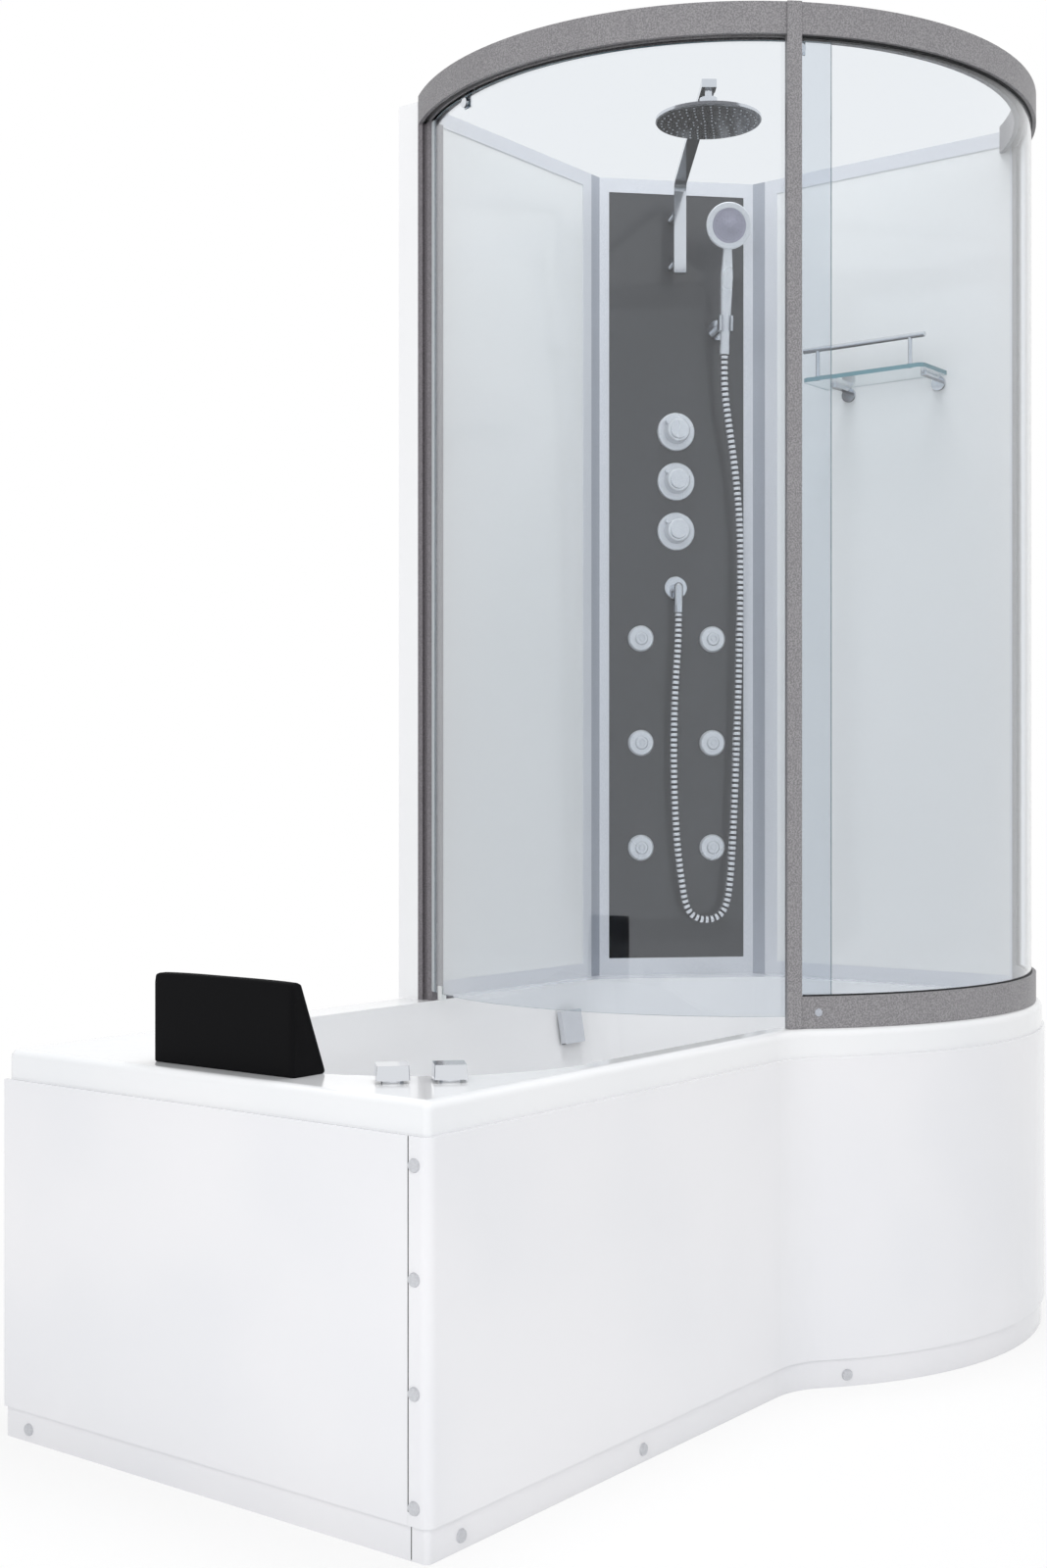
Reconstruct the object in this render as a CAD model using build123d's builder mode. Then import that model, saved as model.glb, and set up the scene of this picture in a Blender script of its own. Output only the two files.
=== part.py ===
from build123d import *

import os
from math import acos, asin, atan, cos, degrees, radians, sin, sqrt, tan

# Bathtub with a rounded shower end, jet fittings and a curved glass shower cabin.
# Millimetres, +Z up. The origin lies on the floor below the middle of the bath's
# bounding box. +X points to the shower end and +Y to the room's wall behind the bath.

os.makedirs("parts", exist_ok=True)

# Bath in plan
bath_length = 1700
shower_depth = 980
bath_width = 800
bulge_radius = 580
bulge_from_end = 390
concave_radius = 120
front_corner = 14
rear_corner = 15
end_corner = 30
cap_height = 3

# Bath heights and walls
rim_height = 560
lip_height = 43
lip_wall = 5
deck_wall = 8
rim_setback = 5
rim_round = 12
basin_wall = 6
basin_depth = 430
basin_round = 45
wall_draft = 75
backrest_lean = 150

# Basin edge at the rim, measured from the bath's outer faces
basin_left_margin = 91
basin_front_margin = 42
basin_right_margin = 80
basin_back_margin = 82
basin_left_corner = 300
basin_corner = 90
column_ledge = 74

# Apron and plinth
apron_thickness = 6
apron_wrap = 32
wall_silicone = 4
panel_gap = 0.3
plinth_height = 45
plinth_overlap = 15
plinth_thickness = 4
cap_radius = 9
cap_first_height = 68
cap_pitch = 138
plinth_cap_height = 18

# Walls, corner column and cabin
wall_thickness = 45
wall_top = 2155
wall_border = 28
panel_thickness = 6
panel_recess = 1
column_along_back = 227
column_along_end = 220
column_depth = 40
column_side = 19.5
column_foot = 34
corner_width = 28
corner_return = 30

# Cabin rails and glass
cabin_top = 2165
rail_setback = 15
rail_width = 38
rail_height = 50
rail_wall = 2.5
glass_thickness = 6
fixed_glass_setback = 8
door_gap = 6
seat_gap = 1.5
profile_width = 38
profile_depth = 33
profile_left = 20
post_angle = 223.6
post_width = 23
post_cover = 4
jamb_angle = 307.8
door_angle_start = 144.6
door_angle_end = 230.5
seal_width = 6.6
door_lift = 17
door_top_gap = 4

# Door rollers
roller_angles = [160, 225]
roller_radius = 9
roller_width = 5
axle_radius = 2.5
running_gap = 0.05
hanger_width = 20
hanger_thickness = 2.4
hanger_drop = 25
hanger_bolt_drop = 17
hanger_bolt_radius = 4
bolt_cap_radius = 8.5
bolt_cap_height = 5

left = -bath_length / 2 + cap_height
right = bath_length / 2
back = shower_depth / 2
front = back - bath_width
lip_bottom = rim_height - lip_height
cabin_x = right - bulge_from_end
cabin_y = bulge_radius - back
cabin = Vector(cabin_x, cabin_y, 0)
cabin_axis = Axis((cabin_x, cabin_y, 0), (0, 0, 1))
wall_face_y = back - wall_thickness
wall_face_x = right - wall_thickness
draft_slope = wall_draft / basin_depth
lean_slope = backrest_lean / basin_depth
draft_angle = degrees(atan(draft_slope))
floor_height = rim_height - basin_depth

# The column stands across the corner; t runs along it, off leads into the shower
column_left = Vector(wall_face_x - column_along_back, wall_face_y, 0)
column_right = Vector(wall_face_x, wall_face_y - column_along_end, 0)
column_along = (column_right - column_left).normalized()
column_out = Vector(column_along.Y, -column_along.X, 0)
column_width = (column_right - column_left).length
panel_face = -panel_recess


def column_point(t, off, height):
    """Point by its place along the column, its distance out of it and its height."""
    place = column_left + column_along * t + column_out * off
    return Vector(place.X, place.Y, height)


def column_plane(t, off, height):
    """Plane parallel to the column's face, with its normal into the shower."""
    return Plane(column_point(t, off, height), x_dir=column_along, z_dir=column_out)


def section_across(t, height):
    """Level plane through a point on the column: x runs along it and y out of it."""
    return Plane(column_point(t, 0, height), x_dir=column_along, z_dir=(0, 0, -1))


def plan_direction(angle):
    """Unit vector in plan at an angle in degrees."""
    return Vector(cos(radians(angle)), sin(radians(angle)), 0)


def cabin_point(radius, angle, height):
    """Point on a circle about the cabin's centre."""
    place = cabin + plan_direction(angle) * radius
    return Vector(place.X, place.Y, height)


def radial_plane(angle, radius, height):
    """Plane across a radius of the cabin, with its normal pointing outwards."""
    along = plan_direction(angle + 90)
    return Plane(cabin_point(radius, angle, height), x_dir=along, z_dir=plan_direction(angle))


def section_plane(angle):
    """Upright plane through the cabin's axis: x is the radius and y the height."""
    return Plane(cabin, x_dir=plan_direction(angle), z_dir=plan_direction(angle - 90))


def arc_through(centre, radius, start, end):
    """Arc about a centre, the short way from start to end."""
    middle = centre + ((start + end) * 0.5 - centre).normalized() * radius
    return ThreePointArc(start, middle, end)


def round_corner(before, corner, after, radius):
    """Arc that rounds the corner between two straight sides; gives its two ends."""
    incoming = (before - corner).normalized()
    outgoing = (after - corner).normalized()
    half = radians(incoming.get_angle(outgoing)) / 2
    start = corner + incoming * (radius / tan(half))
    end = corner + outgoing * (radius / tan(half))
    centre = corner + (incoming + outgoing).normalized() * (radius / sin(half))
    arc_through(centre, radius, start, end)
    return start, end


def front_curve(y_front, x_right, radius, hollow, turn):
    """Hollow, bulge and end corner of the front, as tangent arcs; gives their two ends."""
    hollow_y = y_front - hollow
    hollow_x = cabin_x - sqrt((radius + hollow) ** 2 - (hollow_y - cabin_y) ** 2)
    hollow_centre = Vector(hollow_x, hollow_y)
    meet = cabin + (hollow_centre - cabin) * (radius / (radius + hollow))
    turn_x = x_right - turn
    turn_y = cabin_y - sqrt((radius - turn) ** 2 - (turn_x - cabin_x) ** 2)
    turn_centre = Vector(turn_x, turn_y)
    leave = cabin + (turn_centre - cabin) * (radius / (radius - turn))
    start = Vector(hollow_x, y_front)
    end = Vector(x_right, turn_y)
    arc_through(hollow_centre, hollow, start, meet)
    arc_through(cabin, radius, meet, leave)
    arc_through(turn_centre, turn, leave, end)
    return start, end


def bath_outline(inset, height):
    """The bath's outline, drawn in from its front and its free end by an inset."""
    with BuildSketch(Plane.XY.offset(height)) as outline:
        with BuildLine():
            start, end = front_curve(
                front + inset, right, bulge_radius - inset, concave_radius + inset, end_corner
            )
            rear_right = Vector(right, back)
            rear_left = Vector(left + inset, back)
            front_left = Vector(left + inset, front + inset)
            first, second = round_corner(end, rear_right, rear_left, rear_corner)
            third, fourth = round_corner(rear_right, rear_left, front_left, rear_corner)
            fifth, sixth = round_corner(rear_left, front_left, start, front_corner - inset)
            Line(end, first)
            Line(second, third)
            Line(fourth, fifth)
            Line(sixth, start)
        make_face()
    return outline.sketch


def basin_section(height, growth=0):
    """The basin's section at a height; growth draws the outside of its wall."""
    drop = rim_height - height
    inset = drop * draft_slope - growth
    x_left = left + basin_left_margin + inset + drop * lean_slope
    x_right = right - basin_right_margin - inset
    y_front = front + basin_front_margin + inset
    y_back = back - basin_back_margin - inset
    radius = bulge_radius - basin_front_margin - inset
    hollow = concave_radius + basin_front_margin + inset
    ledge = column_ledge + inset
    cut_x = column_left.X + (ledge - (y_back - column_left.Y) * column_out.Y) / column_out.X
    cut_y = column_left.Y + (ledge - (x_right - column_left.X) * column_out.X) / column_out.Y
    with BuildSketch(Plane.XY.offset(height)) as section:
        with BuildLine():
            start, end = front_curve(y_front, x_right, radius, hollow, basin_corner)
            cut_right = Vector(x_right, cut_y)
            cut_back = Vector(cut_x, y_back)
            rear_left = Vector(x_left, y_back)
            front_left = Vector(x_left, y_front)
            left_radius = basin_left_corner - inset
            first, second = round_corner(end, cut_right, cut_back, basin_corner)
            third, fourth = round_corner(cut_right, cut_back, rear_left, basin_corner)
            fifth, sixth = round_corner(cut_back, rear_left, front_left, left_radius)
            seventh, eighth = round_corner(rear_left, front_left, start, left_radius)
            Line(end, first)
            Line(second, third)
            Line(fourth, fifth)
            Line(sixth, seventh)
            Line(eighth, start)
        make_face()
    return section.sketch


def band(inner, outer, start, end, height):
    """Flat ring sector about the cabin's centre."""
    with BuildSketch(Plane.XY.offset(height)) as sector:
        with BuildLine():
            middle = (start + end) / 2
            ends = [cabin_point(outer, angle, 0) for angle in (start, middle, end)]
            starts = [cabin_point(inner, angle, 0) for angle in (end, middle, start)]
            ThreePointArc(*ends)
            Line(ends[2], starts[0])
            ThreePointArc(*starts)
            Line(starts[2], ends[0])
        make_face()
    return sector.sketch


def basin_front_plane(x, height):
    """Plane on the basin's front inner wall, with its normal into the basin."""
    y = front + basin_front_margin + (rim_height - height) * draft_slope
    lean = radians(draft_angle)
    return Plane((x, y, height), x_dir=(1, 0, 0), z_dir=(0, cos(lean), sin(lean)))


def basin_back_plane(x, height):
    """Plane on the basin's back inner wall, with its normal into the basin."""
    y = back - basin_back_margin - (rim_height - height) * draft_slope
    lean = radians(draft_angle)
    return Plane((x, y, height), x_dir=(1, 0, 0), z_dir=(0, -cos(lean), sin(lean)))


# Jet fittings in the basin's long walls
jet_height = 300
jet_places = [-300, -190, -80]
jet_planes = [basin_front_plane(x, jet_height) for x in jet_places]
jet_planes += [basin_back_plane(x, jet_height) for x in jet_places]
bath_jet_flange = 28
bath_jet_body = 17
bath_jet_eye = 8
bath_jet_bowl = 15
flange_thickness = 5
suction_x = -245
suction_height = 215
suction_flange = 38
suction_body = 24
suction_plane = basin_front_plane(suction_x, suction_height)

# Waste and overflow
drain_x = 400
drain_y = 120
drain_flange_radius = 36
drain_bore = 24
drain_flange_thickness = 3
overflow_height = 478
overflow_radius = 20
overflow_plane = basin_back_plane(drain_x, overflow_height)

# Controls on the deck at the near corner of the free end
button_place = (-747, -165)
air_place = (-694, -217)
deck_knob_turn = 45
deck_tail_radius = 11
deck_tail_length = 40
deck_flange_radius = 15
deck_flange_height = 4
deck_stem_radius = 4
deck_knob_size = 44
deck_knob_height = 19
button_travel = 3

# Basin space, from the rim down to the rounded floor
with BuildPart() as basin_space:
    loft([basin_section(rim_height), basin_section(floor_height)], ruled=True)
    fillet(basin_space.edges().group_by(Axis.Z)[0], basin_round)

with BuildPart() as tub_shell:
    extrude(bath_outline(rim_setback, lip_bottom), amount=lip_height)
    fillet(tub_shell.edges().group_by(Axis.Z)[-1], rim_round)
    inside = bath_outline(rim_setback + lip_wall, lip_bottom)
    extrude(inside, amount=lip_height - deck_wall, mode=Mode.SUBTRACT)
    with BuildPart(mode=Mode.PRIVATE) as outer_basin:
        outside_floor = floor_height - basin_wall
        deck_level = rim_height - deck_wall
        loft([basin_section(deck_level, basin_wall), basin_section(outside_floor, basin_wall)], ruled=True)
        fillet(outer_basin.edges().group_by(Axis.Z)[0], basin_round + basin_wall)
    add(outer_basin.part)
    add(basin_space.part, mode=Mode.SUBTRACT)
    for plane in jet_planes:
        with BuildSketch(plane):
            Circle(bath_jet_body)
        extrude(amount=2 * basin_wall, both=True, mode=Mode.SUBTRACT)
    with BuildSketch(suction_plane):
        Circle(suction_body)
    extrude(amount=2 * basin_wall, both=True, mode=Mode.SUBTRACT)
    with BuildSketch(overflow_plane):
        Circle(overflow_radius)
    extrude(amount=2 * basin_wall, both=True, mode=Mode.SUBTRACT)
    with BuildSketch(Plane.XY.offset(floor_height)):
        with Locations((drain_x, drain_y)):
            Circle(drain_bore)
    extrude(amount=2 * basin_wall, both=True, mode=Mode.SUBTRACT)
    with BuildSketch(Plane.XY.offset(rim_height)):
        with Locations(button_place, air_place):
            Circle(deck_tail_radius)
    extrude(amount=-2 * deck_wall, mode=Mode.SUBTRACT)
tub_shell.part.label = "tub_shell"
export_step(tub_shell.part, "parts/tub_shell.step")

# Panels below the rim
wrap_edge = front + apron_wrap
silicone_edge = right - wall_silicone


def front_ring(inner, outer, height):
    """Ring between two outlines, kept to the front and its wrap round the free end."""
    with BuildSketch(Plane.XY.offset(height)) as ring:
        add(bath_outline(outer, 0))
        add(bath_outline(inner, 0), mode=Mode.SUBTRACT)
        with Locations(((left + silicone_edge) / 2, wrap_edge - bath_width)):
            Rectangle(silicone_edge - left, 2 * bath_width, mode=Mode.INTERSECT)
    return ring.sketch


with BuildPart() as front_apron:
    extrude(front_ring(apron_thickness, 0, plinth_height), amount=lip_bottom - plinth_height)
front_apron.part.label = "front_apron"
export_step(front_apron.part, "parts/front_apron.step")

end_apron_start = wrap_edge + panel_gap
end_apron_plane = Plane((left, 0, 0), x_dir=(0, 1, 0), z_dir=(1, 0, 0))
with BuildPart() as end_apron:
    with BuildSketch(end_apron_plane):
        with Locations(((end_apron_start + back) / 2, (plinth_height + lip_bottom) / 2)):
            Rectangle(back - end_apron_start, lip_bottom - plinth_height)
    extrude(amount=apron_thickness)
end_apron.part.label = "end_apron"
export_step(end_apron.part, "parts/end_apron.step")

plinth_inset = apron_thickness + panel_gap
plinth_left = left + plinth_inset
plinth_front = front + plinth_inset
plinth_top = plinth_height + plinth_overlap
plinth_end_start = wrap_edge + panel_gap
with BuildPart() as plinth_strips:
    extrude(front_ring(plinth_inset + plinth_thickness, plinth_inset, 0), amount=plinth_top)
    with BuildSketch(Plane.XY):
        with Locations((plinth_left + plinth_thickness / 2, (plinth_end_start + back) / 2)):
            Rectangle(plinth_thickness, back - plinth_end_start)
    extrude(amount=plinth_top)
plinth_strips.part.label = "plinth_strips"
export_step(plinth_strips.part, "parts/plinth_strips.step")

# Round covers over the panel screws
cap_y = wrap_edge - cap_radius - 1
bulge_cap_angle = 232
cap_planes = [
    Plane((left, cap_y, cap_first_height + index * cap_pitch), x_dir=(0, 1, 0), z_dir=(-1, 0, 0))
    for index in range(4)
]
cap_planes.append(Plane((plinth_left, back - 48, plinth_cap_height), x_dir=(0, 1, 0), z_dir=(-1, 0, 0)))
for x in (left + 70, left + 470):
    cap_planes.append(Plane((x, plinth_front, plinth_cap_height), x_dir=(1, 0, 0), z_dir=(0, -1, 0)))
cap_planes.append(radial_plane(bulge_cap_angle, bulge_radius - plinth_inset, plinth_cap_height))
with BuildPart() as screw_caps:
    for plane in cap_planes:
        with BuildSketch(plane):
            Circle(cap_radius)
        extrude(amount=cap_height, taper=20)
screw_caps.part.label = "screw_caps"
export_step(screw_caps.part, "parts/screw_caps.step")

# Headrest wedge on the deck at the free end
headrest_setback = 42
headrest_depth = 67
headrest_top_depth = 19
headrest_height = 124
headrest_start = -45
headrest_length = 265
headrest_corner = 12
with BuildPart() as headrest:
    with BuildSketch(Plane((left + headrest_setback, headrest_start, rim_height + panel_gap),
                           x_dir=(1, 0, 0), z_dir=(0, -1, 0))):
        with BuildLine():
            Polyline((0, 0), (headrest_depth, 0), (headrest_top_depth, headrest_height),
                     (0, headrest_height), close=True)
        make_face()
    extrude(amount=-headrest_length)
    top_edges = headrest.edges().filter_by(Axis.X).group_by(Axis.Z)[-1]
    fillet(top_edges, headrest_corner)
headrest.part.label = "headrest"
export_step(headrest.part, "parts/headrest.step")

# Deck controls: a push button and an air regulator with equal square heads
deck_recess_radius = deck_flange_radius + 1
deck_recess_depth = button_travel + panel_gap
knob_underside = rim_height + deck_flange_height + panel_gap
tail_nut_radius = 16
tail_nut_height = 6


def deck_knob_outline(place):
    """Square head of a deck control, turned a corner to the front."""
    with BuildSketch(Plane.XY.offset(knob_underside)) as outline:
        with Locations(Location((place[0], place[1], 0), (0, 0, deck_knob_turn))):
            RectangleRounded(deck_knob_size, deck_knob_size, 4)
    return outline.sketch


with BuildPart() as jets_knob:
    extrude(deck_knob_outline(button_place), amount=deck_knob_height, taper=4)
    with BuildSketch(Plane.XY.offset(knob_underside)):
        with Locations(button_place):
            Circle(deck_recess_radius)
    extrude(amount=deck_recess_depth, mode=Mode.SUBTRACT)
    with BuildSketch(Plane.XY.offset(knob_underside + deck_recess_depth)):
        with Locations(button_place):
            Circle(deck_stem_radius)
    extrude(amount=-deck_tail_length / 2)
jets_knob.part.label = "jets_knob"
export_step(jets_knob.part, "parts/jets_knob.step")

with BuildPart() as air_knob:
    extrude(deck_knob_outline(air_place), amount=deck_knob_height, taper=4)
    with BuildSketch(Plane.XY.offset(knob_underside)):
        with Locations(air_place):
            Circle(deck_recess_radius)
    extrude(amount=deck_recess_depth, mode=Mode.SUBTRACT)
    with BuildSketch(Plane.XY.offset(knob_underside + deck_recess_depth)):
        with Locations(air_place):
            Circle(deck_stem_radius)
    extrude(amount=-deck_tail_length / 2)
air_knob.part.label = "air_knob"
export_step(air_knob.part, "parts/air_knob.step")

deck_underside = rim_height - deck_wall
with BuildPart() as deck_knob_bases:
    with BuildSketch(Plane.XY.offset(rim_height)):
        with Locations(button_place, air_place):
            Circle(deck_flange_radius)
    extrude(amount=deck_flange_height)
    with BuildSketch(Plane.XY.offset(rim_height)):
        with Locations(button_place, air_place):
            Circle(deck_tail_radius - panel_gap)
    extrude(amount=-deck_tail_length)
    with BuildSketch(Plane.XY.offset(deck_underside)):
        with Locations(button_place, air_place):
            RegularPolygon(tail_nut_radius, 6)
    extrude(amount=-tail_nut_height)
    with BuildSketch(Plane.XY.offset(rim_height + deck_flange_height)):
        with Locations(button_place, air_place):
            Circle(deck_stem_radius + running_gap)
    extrude(amount=-0.75 * deck_tail_length, mode=Mode.SUBTRACT)
deck_knob_bases.part.label = "deck_knob_bases"
export_step(deck_knob_bases.part, "parts/deck_knob_bases.step")

# Tubular support frame and its feet
frame_tube = 30
foot_height = 64
frame_rail_ys = [-150, 250]
frame_rail_length = 1580
cross_tube_xs = [-560, -40, 560]
upright_depth = 18
front_inside = front + rim_setback + lip_wall + panel_gap
lip_inner_radius = bulge_radius - rim_setback - lip_wall
rail_top = foot_height + frame_tube
cross_top = rail_top + frame_tube
back_upright_y = back - 26
pump_plate_x = -700
pump_plate_width = 130
pump_plate_thickness = 4
foot_xs = [-750, 0, 750]
foot_pad_radius = 20
foot_pad_height = 8
foot_stud_radius = 6
foot_nut_radius = 11
foot_nut_height = 8


def front_inside_at(x):
    """Y just inside the front lip for an upright at x."""
    reach = x + frame_tube / 2 - cabin_x
    if reach < 0:
        return front_inside
    return cabin_y - sqrt(lip_inner_radius**2 - reach**2) + 1


with BuildPart() as support_frame:
    with BuildSketch(Plane.XY.offset(foot_height)):
        with Locations(*[(0, y) for y in frame_rail_ys]):
            Rectangle(frame_rail_length, frame_tube)
    extrude(amount=frame_tube)
    for x in cross_tube_xs:
        start_y = front_inside_at(x)
        with BuildSketch(Plane.XY.offset(rail_top)):
            with Locations((x, (start_y + back_upright_y) / 2)):
                Rectangle(frame_tube, back_upright_y - start_y)
        extrude(amount=frame_tube)
        with BuildSketch(Plane.XY.offset(cross_top)):
            with Locations((x, start_y + upright_depth / 2), (x, back_upright_y - upright_depth / 2)):
                Rectangle(frame_tube, upright_depth)
        extrude(amount=deck_underside - cross_top)
    with BuildSketch(Plane.XY.offset(rail_top)):
        with Locations((pump_plate_x, sum(frame_rail_ys) / 2)):
            Rectangle(pump_plate_width, frame_rail_ys[1] - frame_rail_ys[0] + frame_tube)
    extrude(amount=pump_plate_thickness)
support_frame.part.label = "support_frame"
export_step(support_frame.part, "parts/support_frame.step")

foot_places = [(x, y) for x in foot_xs for y in frame_rail_ys]
with BuildPart() as levelling_feet:
    with BuildSketch(Plane.XY):
        with Locations(*foot_places):
            Circle(foot_pad_radius)
    extrude(amount=foot_pad_height, taper=15)
    with BuildSketch(Plane.XY):
        with Locations(*foot_places):
            Circle(foot_stud_radius)
    extrude(amount=foot_height)
    with BuildSketch(Plane.XY.offset(foot_height)):
        with Locations(*foot_places):
            RegularPolygon(foot_nut_radius, 6)
    extrude(amount=-foot_nut_height)
levelling_feet.part.label = "levelling_feet"
export_step(levelling_feet.part, "parts/levelling_feet.step")

# Bath jets, suction fitting, pipes and pump
pipe_radius = 14
pipe_offset = 42
stub_radius = 10
jet_socket_depth = 24
suction_pipe_radius = 18
pipe_bend = 45
pump_x = -700
pump_face_y = -20
volute_radius = 65
volute_length = 60
motor_radius = 58
motor_length = 170
pump_foot_length = 150
pump_foot_width = 90
jet_tail_end = pipe_offset - pipe_radius - 1
suction_tail_end = pipe_offset - suction_pipe_radius - 1


def behind(plane, depth):
    """Point behind a basin wall along its normal."""
    return plane.origin - plane.z_dir * depth


with BuildPart() as bath_jets:
    for plane in jet_planes:
        with BuildSketch(plane):
            Circle(bath_jet_flange)
        extrude(amount=flange_thickness, taper=25)
        with BuildSketch(plane):
            Circle(bath_jet_body - panel_gap)
        extrude(amount=-jet_tail_end)
        with BuildSketch(plane.offset(flange_thickness)):
            Circle(bath_jet_bowl)
        extrude(amount=-2 * flange_thickness, taper=20, mode=Mode.SUBTRACT)
        with BuildSketch(plane.offset(-flange_thickness)):
            Circle(bath_jet_eye)
        extrude(amount=2 * flange_thickness, taper=15)
        with BuildSketch(plane.offset(flange_thickness)):
            Circle(bath_jet_eye / 3)
        extrude(amount=-flange_thickness, mode=Mode.SUBTRACT)
        with BuildSketch(plane.offset(-jet_tail_end)):
            Circle(stub_radius + panel_gap)
        extrude(amount=jet_socket_depth - stub_radius, mode=Mode.SUBTRACT)
bath_jets.part.label = "bath_jets"
export_step(bath_jets.part, "parts/bath_jets.step")

with BuildPart() as suction_fitting:
    with BuildSketch(suction_plane):
        Circle(suction_flange)
    extrude(amount=flange_thickness, taper=25)
    with BuildSketch(suction_plane):
        Circle(suction_body - panel_gap)
    extrude(amount=-suction_tail_end)
    with BuildSketch(suction_plane.offset(flange_thickness)):
        with PolarLocations(12, 6):
            Circle(3)
        with PolarLocations(22, 12):
            Circle(3)
    extrude(amount=-flange_thickness, mode=Mode.SUBTRACT)
    with BuildSketch(suction_plane.offset(-suction_tail_end)):
        Circle(stub_radius + panel_gap)
    extrude(amount=jet_socket_depth - stub_radius, mode=Mode.SUBTRACT)
suction_fitting.part.label = "suction_fitting"
export_step(suction_fitting.part, "parts/suction_fitting.step")

front_run = behind(jet_planes[2], pipe_offset)
back_run = behind(jet_planes[5], pipe_offset)
suction_run = behind(suction_plane, pipe_offset)
run_height = front_run.Z
pump_height = suction_run.Z
pump_port_y = pump_face_y - 30
with BuildPart() as bath_pipework:
    with BuildLine() as pressure_path:
        FilletPolyline((front_run.X + pipe_radius, front_run.Y, run_height),
                       (pump_x, front_run.Y, run_height),
                       (pump_x, back_run.Y, run_height),
                       (back_run.X + pipe_radius, back_run.Y, run_height), radius=pipe_bend)
    with BuildSketch(Plane(pressure_path.wire() @ 0, z_dir=pressure_path.wire() % 0)):
        Circle(pipe_radius)
    sweep(path=pressure_path.wire())
    with BuildLine() as suction_path:
        FilletPolyline((suction_x + suction_pipe_radius, suction_run.Y, pump_height),
                       (pump_x, suction_run.Y, pump_height),
                       (pump_x, pump_port_y, pump_height), radius=pipe_bend)
    with BuildSketch(Plane(suction_path.wire() @ 0, z_dir=suction_path.wire() % 0)):
        Circle(suction_pipe_radius)
    sweep(path=suction_path.wire())
    for plane in [*jet_planes, suction_plane]:
        with BuildSketch(plane.offset(-pipe_offset)):
            Circle(stub_radius)
        extrude(amount=jet_socket_depth)
    with BuildSketch(Plane.XY.offset(run_height)):
        with Locations((pump_x, pump_face_y + volute_length / 2)):
            Circle(suction_pipe_radius)
    extrude(amount=-(run_height - pump_height - volute_radius - 1))
bath_pipework.part.label = "bath_pipework"
export_step(bath_pipework.part, "parts/bath_pipework.step")

pump_base = rail_top + pump_plate_thickness
pump_axis_plane = Plane((pump_x, pump_face_y, pump_height), x_dir=(1, 0, 0), z_dir=(0, 1, 0))
with BuildPart() as circulation_pump:
    with BuildSketch(pump_axis_plane):
        Circle(volute_radius)
    extrude(amount=volute_length)
    fillet(circulation_pump.edges().filter_by(GeomType.CIRCLE), 8)
    with BuildSketch(pump_axis_plane):
        Circle(suction_pipe_radius + 4)
    extrude(amount=-(pump_face_y - pump_port_y) + panel_gap)
    with BuildSketch(pump_axis_plane.offset(volute_length)):
        Circle(motor_radius)
    extrude(amount=motor_length)
    with BuildSketch(pump_axis_plane.offset(volute_length + 15)):
        with PolarLocations(motor_radius, 16):
            Rectangle(7, 3)
    extrude(amount=motor_length - 45)
    with BuildSketch(Plane.XY.offset(pump_base)):
        with Locations((pump_x, pump_face_y + volute_length + pump_foot_length / 2)):
            Rectangle(pump_foot_width, pump_foot_length)
    extrude(amount=pump_height - pump_base - motor_radius / 2)
circulation_pump.part.label = "circulation_pump"
export_step(circulation_pump.part, "parts/circulation_pump.step")

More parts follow.
